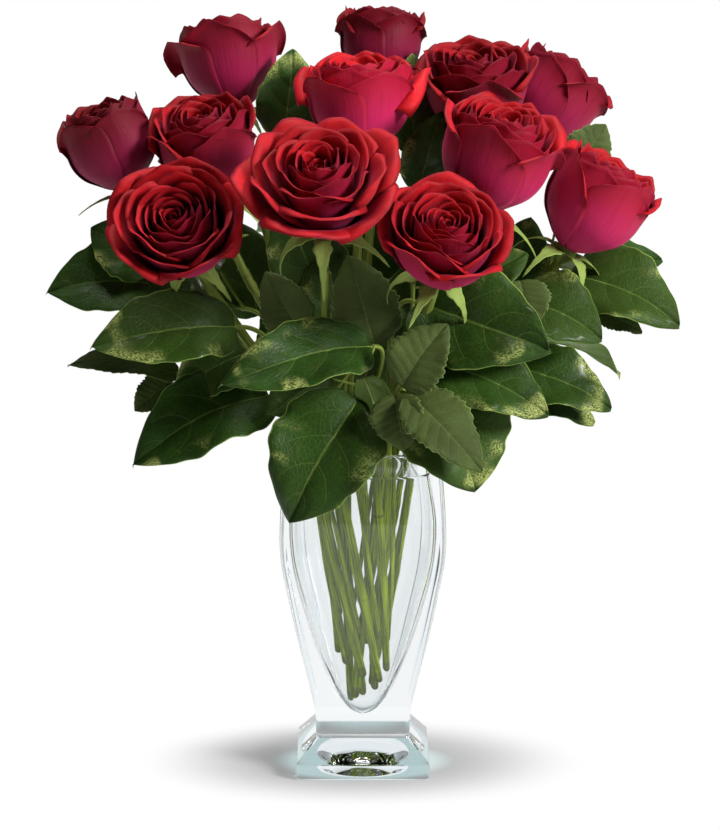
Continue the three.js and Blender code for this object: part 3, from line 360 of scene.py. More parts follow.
class Shape:
    """Points and faces that become one piece, with where each point lies on its own sheet."""

    def __init__(self):
        self.points, self.places, self.tones = [], [], []
        self.faces, self.finishes = [], []
        self.total = 0

    def add(self, points, places, tone):
        """Adds a block of points and gives the number of its first."""
        start = self.total
        points = np.asarray(points, float).reshape(-1, 3)
        self.points.append(points)
        self.places.append(np.asarray(places, float).reshape(-1, 3))
        self.tones.append(np.broadcast_to(np.asarray(tone, float).reshape(-1), (len(points),)))
        self.total += len(points)
        return start

    def face(self, corners, finish):
        self.faces.append(list(corners))
        self.finishes.append(finish)

    def quads(self, start, rows, columns, finish, closed=False, flip=False):
        """Faces between the rows of a grid of points."""
        for j in range(rows - 1):
            for i in range(columns if closed else columns - 1):
                k = (i + 1) % columns
                a, b = start + j * columns + i, start + j * columns + k
                corners = [a, b, b + columns, a + columns]
                self.face(corners[::-1] if flip else corners, finish)

    def skin(self, start, rows, sides, finish):
        """Faces between rings of points, capped at both ends."""
        self.quads(start, rows, sides, finish, closed=True)
        self.face([start + i for i in range(sides)][::-1], finish)
        self.face([start + (rows - 1) * sides + i for i in range(sides)], finish)

    def sheet(self, middle, thickness, u, v, tone, finish=0):
        """A thin closed sheet over a grid of middle points, with places (u, v, side). Its edges
        are half as thick."""
        rows, columns = middle.shape[:2]
        normal = unit(np.cross(np.gradient(middle, axis=1), np.gradient(middle, axis=0)))
        half = np.full((rows, columns), thickness / 2)
        half[-1], half[:, 0], half[:, -1] = 0.5 * half[-1], 0.5 * half[:, 0], 0.5 * half[:, -1]
        starts = []
        for side in (1, -1):
            places = np.stack(np.broadcast_arrays(u, v, np.full((rows, columns), side)), axis=-1)
            starts.append(self.add(middle + side * normal * half[..., None], places, tone))
        front, back = starts
        self.quads(front, rows, columns, finish)
        self.quads(back, rows, columns, finish, flip=True)
        rim = list(range(columns))
        rim += [j * columns + columns - 1 for j in range(1, rows)]
        rim += [(rows - 1) * columns + i for i in range(columns - 2, -1, -1)]
        rim += [j * columns for j in range(rows - 2, 0, -1)]
        for a, b in zip(rim, rim[1:] + rim[:1]):
            self.face([front + b, front + a, back + a, back + b], finish)

    def tube(self, path, radii, sides, finish, tone, slant=0.0):
        """A round tube along a path, its first end cut at a slant. Its places are (bearing,
        distance along, 0)."""
        path = np.asarray(path, float)
        way = unit(np.gradient(path, axis=0))
        aside = (0.31, 0.17, 0.93) if abs(way[0][2]) < 0.8 else (1, 0.1, 0)
        side = unit(np.cross(way[0], aside))
        angles = np.linspace(0, 2 * np.pi, sides, endpoint=False)
        sin, cos = np.sin(angles)[:, None], np.cos(angles)[:, None]
        radii = np.broadcast_to(radii, len(path))
        rings, places = [], []
        for point, forward, radius, far in zip(path, way, radii, distances(path)):
            side = unit(side - forward * np.dot(side, forward))
            ring = point + radius * (cos * side + sin * np.cross(forward, side))
            if slant and far == 0:
                ring += forward * (slant * radius * cos)
            rings.append(ring)
            places.append(np.stack([angles, np.full(sides, far), np.zeros(sides)], axis=1))
        tones = np.broadcast_to(np.asarray(tone, float).reshape(-1, 1), (len(path), sides))
        start = self.add(np.array(rings), np.array(places), tones)
        self.skin(start, len(path), sides, finish)

    def rings(self, rings):
        """A closed skin over a row of rings of points, with places (share round, height, 0)."""
        rings = np.asarray(rings, float)
        rows, sides = rings.shape[:2]
        turn = np.linspace(0, 1, sides, endpoint=False)
        places = np.stack(np.broadcast_arrays(turn[None, :], rings[..., 2], 0), axis=-1)
        start = self.add(rings, places, 0.0)
        self.skin(start, rows, sides, 0)

    def move(self, first, matrix):
        """Carries every block of points from number first on by a 4 by 4 matrix."""
        matrix = np.array(matrix)
        for k in range(first, len(self.points)):
            self.points[k] = self.points[k] @ matrix[:3, :3].T + matrix[:3, 3]


def make_piece(name, shape, finishes, slot, *nodes):
    """Makes the piece that stands for CAD nodes, from a shape in millimetres."""
    mesh = bpy.data.meshes.new(name)
    mesh.from_pydata((np.vstack(shape.points) * MM).tolist(), [], shape.faces)
    if len(mesh.polygons) != len(shape.faces):
        raise RuntimeError(f"{name} lost faces")
    for material in finishes:
        mesh.materials.append(material)
    mesh.polygons.foreach_set("material_index", shape.finishes)
    mesh.polygons.foreach_set("use_smooth", [True] * len(shape.faces))
    places = mesh.attributes.new("place", "FLOAT_VECTOR", "POINT")
    places.data.foreach_set("vector", np.vstack(shape.places).astype(np.float32).ravel())
    tones = mesh.attributes.new("tone", "FLOAT", "POINT")
    tones.data.foreach_set("value", np.concatenate(shape.tones).astype(np.float32))
    work = bmesh.new()
    work.from_mesh(mesh)
    bmesh.ops.recalc_face_normals(work, faces=work.faces)
    work.to_mesh(mesh)
    work.free()
    piece = bpy.data.objects.new(name, mesh)
    bpy.context.scene.collection.objects.link(piece)
    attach(piece, "root")
    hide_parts(*nodes)
    return piece


# ---- materials ----------------------------------------------------------------------------------


def rgb(colour, gain=1.0):
    return (colour[0] * gain, colour[1] * gain, colour[2] * gain, 1.0)


class Nodes:
    """Short ways to add nodes to a tree. A value is a number, a colour or a node's output."""

    def __init__(self, tree):
        self.tree = tree

    def feed(self, socket, value):
        if isinstance(value, bpy.types.NodeSocket):
            self.tree.links.new(value, socket)
        else:
            socket.default_value = value

    def node(self, kind, inputs=(), **settings):
        made = self.tree.nodes.new(kind)
        for key, value in settings.items():
            setattr(made, key, value)
        for socket, value in dict(inputs).items():
            self.feed(made.inputs[socket], value)
        return made

    def math(self, operation, a, b=0.0, c=0.0):
        return self.node("ShaderNodeMath", {0: a, 1: b, 2: c}, operation=operation).outputs[0]

    def times(self, a, b):
        return self.math("MULTIPLY", a, b)

    def plus(self, a, b):
        return self.math("ADD", a, b)

    def minus(self, a, b):
        return self.math("SUBTRACT", a, b)

    def between(self, value, low, high, start=0.0, end=1.0):
        """Goes softly from start to end while the value goes from low to high."""
        values = {0: value, 1: low, 2: high, 3: start, 4: end}
        return self.node("ShaderNodeMapRange", values, interpolation_type="SMOOTHSTEP").outputs[0]

    def mix(self, share, a, b, blend="MIX"):
        values = {0: share, 6: a, 7: b}
        return self.node("ShaderNodeMix", values, data_type="RGBA", blend_type=blend).outputs[2]

    def split(self, vector):
        return self.node("ShaderNodeSeparateXYZ", {0: vector}).outputs

    def scaled(self, *parts):
        """A vector of three values, each times its own number."""
        values = {k: self.times(value, scale) for k, (value, scale) in enumerate(parts)}
        return self.node("ShaderNodeCombineXYZ", values).outputs[0]

    def here(self, kind="Object"):
        return self.node("ShaderNodeTexCoord").outputs[kind]

    def noise(self, scale, detail, vector=None, roughness=0.5):
        vector = self.here() if vector is None else vector
        values = {"Vector": vector, "Scale": scale, "Detail": detail, "Roughness": roughness}
        return self.node("ShaderNodeTexNoise", values).outputs["Fac"]


class Finish(Nodes):
    """A material with one main shader."""

    def __init__(self, name):
        self.material = bpy.data.materials.new(name)
        self.material.use_nodes = True
        super().__init__(self.material.node_tree)
        self.shader = self.tree.nodes["Principled BSDF"]

    def attribute(self, name, output="Fac"):
        return self.node("ShaderNodeAttribute", attribute_name=name).outputs[output]

    def place(self):
        """Where a point lies: across, along, side. Then its tone."""
        return *self.split(self.attribute("place", "Vector")), self.attribute("tone")

    def bump(self, height, distance, strength):
        values = {"Height": height, "Distance": distance, "Strength": strength}
        return self.node("ShaderNodeBump", values).outputs["Normal"]

    def set(self, **sockets):
        for name, value in sockets.items():
            self.feed(self.shader.inputs[name.replace("_", " ")], value)
        return self.material


def petal_finish(looks):
    """Velvety petals: streaked, with painted shade deep in the head; bluer low on their outer
    faces, partly as painted sheen.
    """
    finish = Finish("petal_velvet")
    u, v, side, tone = finish.place()
    inner = finish.between(side, -0.5, 0.5)
    streaks = finish.noise(1.0, 4.0, finish.scaled((u, 16.0), (v, 2.2), (tone, 37.0)))
    clouds = finish.noise(55.0, 3.0)
    velvet = finish.noise(2600.0, 2.0)
    cloudy = finish.between(clouds, 0.35, 0.7)
    face = finish.mix(cloudy, rgb(looks.petal, 0.8), rgb(looks.petal, 1.15))
    # outer faces: bluer low down, partly their own colour and partly painted sheen, and a darker
    # red towards the top
    low = finish.between(v, 0.35, 0.95, 0.0, 0.8)
    outside = finish.mix(low, rgb(looks.petal_outside), rgb(looks.petal, 0.55))
    colour = finish.mix(inner, outside, face)
    streak = finish.between(streaks, 0.5, 0.8, 0.0, 0.3)
    colour = finish.mix(streak, colour, rgb(looks.petal_shade))
    # painted shade: the inner faces darken towards their roots, deep in the head
    painted_depth_shade = finish.times(finish.between(v, 0.35, 0.85, 0.75, 0.0), inner)
    colour = finish.mix(painted_depth_shade, colour, rgb(looks.petal_shade, 0.6))
    flank = finish.between(finish.math("ABSOLUTE", u), 0.93, 1.0)
    rim = finish.math("MAXIMUM", finish.between(v, 0.955, 1.0), flank)
    colour = finish.mix(finish.times(rim, 0.5), colour, rgb(looks.petal_shade))
    relief = finish.plus(finish.times(streaks, 0.8), finish.times(velvet, 0.2))
    return finish.set(
        # each head's red times its painted light and shade
        Base_Color=finish.mix(1.0, colour, finish.attribute("painted_light_and_shade"), "MULTIPLY"),
        Roughness=finish.between(clouds, 0.2, 0.8, 0.5, 0.68),
        Normal=finish.bump(relief, 0.0009, 0.35),
        Sheen_Weight=0.17,
        Sheen_Roughness=0.35,
        Sheen_Tint=rgb(PETAL_SHEEN),
        Specular_IOR_Level=0.12,
        Subsurface_Weight=0.12,
        Subsurface_Scale=0.002,
        Subsurface_Radius=(1.0, 0.12, 0.1),
    )


def leaf_finish(name, colour, form, look):
    """A leaf with a rib, side veins, a fine net, a pale margin and, where it is waxy, painted
    glints as pale flecks.
    """
    finish = Finish(name)
    u, v, side, tone = finish.place()
    wide = finish.math("ABSOLUTE", u)
    vein, wax_and_glint = look["vein"], look["wax_and_glint"]

    # the rib, the side veins, which lie in the grooves of the blade, and the net between them
    bend = finish.times(finish.math("POWER", wide, 3.0), form["bend"])
    raked = finish.plus(finish.times(wide, form["rake"]), bend)
    phase = finish.minus(finish.times(v, form["veins"]), raked)
    apart = finish.math("ABSOLUTE", finish.minus(finish.math("FRACT", phase), 0.5))
    side_vein = finish.between(apart, 0.0, 0.008 * form["veins"], 1.0, 0.0)
    side_vein = finish.times(side_vein, finish.between(wide, 0.6, 0.95, 1.0, 0.0))
    rib = finish.between(wide, 0.008, 0.04, 1.0, 0.0)
    veins = finish.math("MAXIMUM", finish.times(side_vein, 0.6), rib)
    cells = {"Vector": finish.scaled((u, 11.0), (v, 26.0), (tone, 1.0)), "Scale": 1.0}
    cells = finish.node("ShaderNodeTexVoronoi", cells, feature="DISTANCE_TO_EDGE")
    net = finish.between(cells.outputs["Distance"], 0.0, 0.14, 1.0, 0.0)

    # the green, cloudy, a little its own on each leaf, and mottled with brown
    clouds = finish.noise(30.0, 3.0)
    patches = finish.noise(95.0, 4.0, roughness=0.65)
    body = finish.mix(finish.between(clouds, 0.3, 0.75), rgb(colour, 0.7), rgb(colour, 1.35))
    body = finish.mix(finish.between(tone, 0.0, 1.0, 0.0, 0.2), body, rgb(vein, 0.6))
    brown = finish.between(patches, 0.62, 0.72, 0.0, look["mottle"])
    body = finish.mix(brown, body, rgb(LEAF_BROWN))
    face = finish.mix(finish.times(veins, 0.36), body, rgb(vein))
    face = finish.mix(finish.times(net, 0.07), face, rgb(vein))

    # painted glints: pale flecks on the wax near the margin and the tip, broken up along fine
    # creases
    edge = finish.times(finish.between(v, 0.35, 0.8, 0.35, 1.0), finish.between(wide, 0.45, 0.95))
    edge = finish.math("MAXIMUM", edge, finish.between(v, 0.72, 0.97))
    creases = finish.noise(1.0, 3.0, finish.scaled((u, 22.0), (v, 70.0), (tone, 9.0)))
    painted_glint = finish.times(edge, finish.between(finish.noise(36.0, 1.0), 0.55, 0.64))
    painted_glint = finish.times(painted_glint, finish.between(creases, 0.42, 0.58, 0.1, 1.0))
    face = finish.mix(finish.times(painted_glint, wax_and_glint), face, rgb(LEAF_PAINTED_GLINT))
    face = finish.mix(finish.between(wide, 0.965, 0.995, 0.0, 0.7), face, rgb(vein, 1.5))

    under = finish.mix(finish.times(veins, 0.5), rgb(look["underside"]), rgb(vein, 1.3))
    relief = finish.plus(veins, finish.times(net, 0.4))
    sheen = finish.between(finish.noise(26.0, 2.0), 0.54, 0.7)
    return finish.set(
        Base_Color=finish.mix(finish.between(side, -0.5, 0.5), under, face),
        Roughness=finish.between(patches, 0.3, 0.7, look["rough"], look["rough"] + 0.16),
        Normal=finish.bump(finish.minus(finish.times(patches, 0.35), relief), 0.0006, 0.5),
        Specular_IOR_Level=0.1,
        Coat_Weight=finish.times(sheen, 0.5 * wax_and_glint),
        Coat_Roughness=0.22,
    )


def stem_finish(looks):
    """Green stems with fine lengthwise lines and brown where tone is high. Below the neck they are
    paler, as painted light through the glass and water; above it their darker green is painted
    shade inside the bunch. The roses and the lemon leaf share it."""
    if "stem_green" in bpy.data.materials:
        return bpy.data.materials["stem_green"]
    finish = Finish("stem_green")
    around, along, _, tone = finish.place()
    lines = finish.noise(1.0, 3.0, finish.scaled((around, 3.0), (along, 0.03), (0.0, 0.0)))
    spots = finish.noise(420.0, 2.0)
    lined = finish.between(lines, 0.35, 0.65)
    body = finish.mix(lined, rgb(looks.stem, 0.5), rgb(looks.stem, 1.4))
    body = finish.mix(finish.between(spots, 0.66, 0.74, 0.0, 0.5), body, rgb(STEM_SPOT))
    # painted light below the neck, painted shade above it
    above = finish.between(finish.split(finish.here())[2], *PAINTED_LIGHT_FADE)
    body = finish.mix(above, finish.mix(1.0, body, rgb(STEM_PAINTED_LIGHT_IN_WATER), "MULTIPLY"), body)
    return finish.set(
        Base_Color=finish.mix(finish.between(tone, 0.35, 0.9), body, rgb(STEM_SCAR)),
        Roughness=finish.between(lines, 0.3, 0.7, 0.36, 0.5),
        Normal=finish.bump(finish.plus(lines, finish.times(spots, 0.3)), 0.0004, 0.4),
        Specular_IOR_Level=0.05,
    )


def clear_finish(name, tint, index, ripple, gleam):
    """Clear glass or water, with the faint unevenness of a poured thing."""
    finish = Finish(name)
    swell = finish.noise(ripple, 1.0)
    return finish.set(
        Base_Color=finish.mix(finish.between(swell, 0.3, 0.7), rgb(tint), rgb(tint, 0.985)),
        Transmission_Weight=1.0,
        Specular_Tint=rgb(WHITE, gleam),
        Roughness=0.0,
        IOR=index,
        Normal=finish.bump(swell, 0.0004, 0.15),
    )


def floor_finish(colour, glow):
    """Pale paper that takes soft shadows round the foot and is white beyond. Near the foot it
    glows faintly as painted light, with a brighter sea-green pool of painted light under the
    glass."""
    finish = Finish("floor_paper")
    grain = finish.noise(400.0, 3.0)
    oval = {0: finish.here(), 1: FLOOR_STRETCH}
    oval = finish.node("ShaderNodeVectorMath", oval, operation="MULTIPLY").outputs["Vector"]
    far = finish.node("ShaderNodeVectorMath", {0: oval}, operation="LENGTH").outputs["Value"]
    beyond = finish.between(far, *FLOOR_SHADOW)
    paper = finish.mix(finish.between(grain, 0.3, 0.7), rgb(colour), rgb(colour, 0.985))
    # painted light: the floor glows faintly near the foot, and twice as strongly in a pool under
    # the glass
    own = finish.between(far, 0.045, 0.065, 2.1 * glow, glow)
    return finish.set(
        Base_Color=finish.mix(beyond, paper, rgb(BLACK)),
        Roughness=0.9,
        Specular_IOR_Level=0.0,
        # the pool of painted light under the glass is sea-green
        Emission_Color=finish.mix(finish.between(far, 0.045, 0.07), rgb(PAINTED_POOL_UNDER_GLASS), rgb(WHITE)),
        Emission_Strength=finish.plus(finish.times(beyond, 1.0 - glow), own),
    )


# ---- vase and water -----------------------------------------------------------------------------


def square_ring(half, corner, height, arc_steps=8, flat_steps=6):
    """A square with round corners as a ring of points, with points close beside each corner."""
    flat = half - corner
    marks = np.linspace(-1, 1, flat_steps + 1)[1:-1] * 0.94
    marks = np.concatenate([[-0.985], marks, [0.985]])
    ring = []
    for quarter in range(4):
        angles = np.radians(90 * quarter + np.linspace(0, 90, arc_steps + 1))
        middle = math.radians(90 * quarter + 45)
        x = flat * math.sqrt(2) * math.cos(middle) + corner * np.cos(angles)
        y = flat * math.sqrt(2) * math.sin(middle) + corner * np.sin(angles)
        ring += list(zip(x, y))
        a = math.radians(90 * (quarter + 1))
        out = np.array([math.cos(a), math.sin(a)])
        along = np.array([-math.sin(a), math.cos(a)])
        ring += [tuple(out * half + along * flat * m) for m in marks]
    ring = np.array(ring)
    return np.column_stack([ring, np.full(len(ring), float(height))])


def hollow_ring(half, height):
    """The hollow is round at its bottom and a soft square at its mouth."""
    low, high = VASE_INSIDE[0][0], VASE_INSIDE[-1][0]
    share = max(0, height - low) / (high - low)
    roundness = 1 - MOUTH_SQUARE * min(1, share / SQUARE_FROM)
    return square_ring(half, half * min(0.999, roundness), height)


def hollow_line(level=None):
    """Heights and half widths down the hollow, from its mouth or a level to its bottom."""
    line = smooth_line(VASE_INSIDE, 60)[::-1]
    if level is not None:
        surface = (level, np.interp(level, *zip(*VASE_INSIDE)))
        line = np.vstack([surface, line[line[:, 0] < level - 1]])
    bottom, half = line[-1]
    end = [(bottom - HOLLOW_END * math.sin(a), half * math.cos(a)) for a in (0.6, 1.1, 1.5)]
    return np.vstack([line, end])


def vase_shape():
    """The vase's skin, from the middle of the dimple, out over the foot, up and down inside."""
    rings = []
    for r in np.linspace(0.5, DIMPLE_RADIUS, 16):
        rings.append(square_ring(r, r * 0.999, DIMPLE_DEPTH * (1 - (r / DIMPLE_RADIUS) ** 2)))
    rings.append(square_ring(DIMPLE_RADIUS + 1.5, DIMPLE_RADIUS + 1.4, 0))
    rings.append(square_ring(FOOT_HALF - FOOT_EDGE, FOOT_CORNER, 0))
    for a in np.linspace(0.15, 1, 4) * math.pi / 2:
        half = FOOT_HALF - FOOT_EDGE + FOOT_EDGE * math.sin(a)
        rings.append(square_ring(half, FOOT_CORNER, FOOT_EDGE * (1 - math.cos(a))))
    waist = VASE_OUTSIDE[0][1]
    slope = unit((FOOT_TOP - FOOT_SLAB, FOOT_HALF - waist))[1]
    rings.append(square_ring(FOOT_HALF, FOOT_CORNER, FOOT_SLAB - BEVEL_DOWN))
    for share in (0.25, 0.5, 0.75, 1):
        half = FOOT_HALF - BEVEL_IN * slope * share**1.6
        rings.append(square_ring(half, FOOT_CORNER, FOOT_SLAB - BEVEL_DOWN * (1 - share) ** 1.3))
    for share in (0.08, 0.9, 0.97):
        half = FOOT_HALF - SLOPE_IN + share * (waist - FOOT_HALF + SLOPE_IN)
        rings.append(square_ring(half, SLOPE_CORNER, FOOT_SLAB + share * (FOOT_TOP - FOOT_SLAB)))
    for height, half in smooth_line(VASE_OUTSIDE, 56)[:-1]:
        rings.append(square_ring(half, VASE_CORNER, height))
    rim, outer = VASE_OUTSIDE[-1]
    for a in np.linspace(0.15, math.pi / 2, 6):
        half = outer - VASE_LIP + VASE_LIP * math.cos(a)
        rings.append(square_ring(half, VASE_CORNER, rim - VASE_LIP + VASE_LIP * math.sin(a)))
    inside = hollow_line()
    mouth, inner = inside[0]
    for a in np.linspace(0, math.pi / 2, 6):
        half = inner + VASE_LIP - VASE_LIP * math.sin(a)
        rings.append(hollow_ring(half, mouth - VASE_LIP + VASE_LIP * math.cos(a)))
    below = mouth - VASE_LIP - 1
    rings += [hollow_ring(half, height) for height, half in inside if height < below]
    shape = Shape()
    shape.rings(rings)
    return shape


def water_shape(level):
    """The water fills the hollow, just into the glass, and climbs a little at its edge."""
    line = hollow_line(level + WATER_CLIMB)
    surface, half = line[0]
    rings = []
    for k, (height, w) in enumerate(line):
        rings.append(hollow_ring(max(0.2, w + WATER_FILM), height - (WATER_FILM if k > 4 else 0)))
    rings.reverse()
    for inset, climb in (*WATER_EDGE, (half * 0.5, 0), (half * 0.97, 0)):
        ring = hollow_ring(half - inset, surface)
        ring[:, 2] = level + WATER_CLIMB * climb
        rings.append(ring)
    shape = Shape()
    shape.rings(rings)
    return shape


# ---- stems --------------------------------------------------------------------------------------


def bunch_point(ring, bearing, height):
    """A point on a stem below the neck. The bunch turns and closes as one, so that no two stems
    meet."""
    radius, twist = ring
    share = (NECK - height) / (NECK - STEM_FOOT)
    a, b = math.radians(bearing), math.radians(bearing + twist)
    top = radius * np.array([math.cos(a), math.sin(a)])
    bottom = STEM_SQUEEZE * radius * np.array([math.cos(b), math.sin(b)])
    return np.array([*(top + share * (bottom - top)), float(height)])


class Stem:
    """A stem's path: straight from the cut end to the neck, then swung round to where it ends."""

    def __init__(self, ring, bearing, cut, end, arrive, pulls):
        start = bunch_point(ring, bearing, NECK)
        leave = unit(start - bunch_point(ring, bearing, NECK - 10))
        reach = np.linalg.norm(end - start)
        first, last = leave * reach * pulls[0], unit(arrive) * reach * pulls[1]
        self.corners = [start, start + first, end - last, end]
        self.foot = bunch_point(ring, bearing, cut)

    def at(self, t):
        """Points above the neck, for t from 0 at the neck to 1 at the end."""
        a, b, c, d = self.corners
        t = np.asarray(t, float)[..., None]
        return (1 - t) ** 3 * a + 3 * (1 - t) ** 2 * t * b + 3 * (1 - t) * t**2 * c + t**3 * d

    def path(self):
        low = self.foot + np.linspace(0, 1, 40)[:-1, None] * (self.corners[0] - self.foot)
        return np.vstack([low, self.at(np.linspace(0, 1, 56))])

    def nearest(self, target):
        points = self.at(np.arange(0, 40) / 40)
        return points[np.argmin(np.linalg.norm(points - np.asarray(target, float), axis=1))]


def stem_shape(shape, stem, radius, scars, rng):
    """A round stem with a slanted cut, and swollen brown scars where leaves were taken off."""
    path = stem.path()
    far = distances(path)
    radii = radius * (1 - 0.08 * swing(far * 0.045, rng))
    tone = np.zeros(len(path))
    for _ in range(scars):
        at = rng.uniform(12, 0.85 * far[-1])
        bulge = np.exp(-(((far - at) / SCAR_LENGTH) ** 2))
        radii = radii + SCAR_SWELL * radius * bulge
        tone = np.maximum(tone, bulge * rng.uniform(0.4, 0.75))
    tone[:2] = 0.6
    shape.tube(path, radii, 12, STEM_PART, tone, slant=0.9)


def thorn(shape, at, way, out, size):
    """A hooked thorn on the stem."""
    path = [at, at + out * size * 0.5 - way * size * 0.08, at + out * size - way * size * 0.35]
    shape.tube(smooth_line(path, 6), np.linspace(0.42 * size, 0.06 * size, 6), 6, STEM_PART, 0.5)


# ---- leaves -------------------------------------------------------------------------------------


def leaf_share(v):
    """Half width along a leaf, as a share of its widest: round at its base, short at its tip."""
    return 2.38 * np.power(v, 0.5) * np.power(1 - v, 0.8)


def leaf_shape(shape, leaf, form, stem_point, rng):
    """A leaf's blade with its rib and veins in relief, on a round stalk from the stem."""
    start, end, width, upper, bow = leaf
    start, end = np.array(start, float), np.array(end, float)
    chord = end - start
    length = np.linalg.norm(chord)
    across = unit(np.cross(chord, upper))
    up = unit(np.cross(across, chord))

    def rise(v):
        """How far the bowed blade stands over its chord. It droops at the tip."""
        return bow * length * 4 * v * (1 - v) - 0.06 * length * v**3

    # places along and across the blade, closer beside the rib, and its half width with its teeth
    v = np.linspace(0.02, 1, form["rows"])[:, None]
    u = np.linspace(-1, 1, form["columns"])[None, :]
    u = np.sign(u) * np.abs(u) ** 1.25
    wide = np.abs(u)
    tooth = 1 - form["depth"] * (1 - (v * form["teeth"]) % 1)
    uneven = 1 + 0.025 * swing(v * 23, rng) + 0.02 * swing(v * 41, rng)
    half = np.maximum(0.35, width / 2 * leaf_share(v) * tooth * uneven)

    # the fold, the wave and the turned-down margin
    lift = wide * half * form["fold"] + form["wave"] * length * wide * np.sin(v * 9 + u * 2)
    lift = lift - 0.06 * half * wide**3 * (1 + swing(v * 14, rng))

    # cushions between the side veins, and the grooves of the veins and the rib
    phase = (v * form["veins"] - form["rake"] * wide - form["bend"] * wide**3) % 1
    relief = CUSHION * np.cos(2 * np.pi * (phase - 0.5) + np.pi) * wide * (1 - wide**6)
    vein = np.exp(-((np.abs(phase - 0.5) / VEIN_GROOVE[1]) ** 2)) * (1 - wide**4)
    relief = relief - VEIN_GROOVE[0] * vein
    relief = relief - RIB_GROOVE[0] * np.exp(-((u / RIB_GROOVE[1]) ** 2))
    relief = relief * min(1.0, width / FULL_RELIEF) * np.minimum(1, half / 6)

    sway = 0.02 * length * swing(v * math.pi * 1.3, rng) * v
    middle = start + chord * v[..., None] + up * (rise(v) + lift + relief)[..., None]
    middle = middle + across * (u * half + sway)[..., None]
    shape.sheet(middle, LEAF_THICKNESS, u, v, rng.random(), LEAF_PART)

    base = start + chord * 0.05 + up * (bow * length * 0.19 - 0.3)
    sag = -0.06 * np.linalg.norm(base - stem_point) * unit(upper)
    stalk = smooth_line([stem_point, stem_point + 0.5 * (base - stem_point) + sag, base], 10)
    shape.tube(stalk, np.linspace(PETIOLE * 1.15, PETIOLE * 0.75, 10), 8, STEM_PART, 0.0)

    # the rib stands out underneath
    v_rib = np.linspace(0.03, 0.9, 16)[:, None]
    rib = start + chord * v_rib + up * (rise(v_rib) - 0.85)
    rib = rib + across * np.interp(v_rib[:, 0], v[:, 0], sway[:, 0])[:, None]
    shape.tube(rib, np.linspace(0.75, 0.2, 16), 6, LEAF_PART, 0.5)


# ---- rose heads ---------------------------------------------------------------------------------


def head_matrix(rose):
    """Carries a shut upright head that stands on the origin to its rose's place."""
    _, at, face, size, *_ = rose
    facing = Vector(face).normalized()
    base = Vector(at) - facing * (0.5 * HEAD_HEIGHT * size)
    turn = Vector((0, 0, 1)).rotation_difference(facing)
    return Matrix.LocRotScale(base, turn, Vector((size, size, size)))


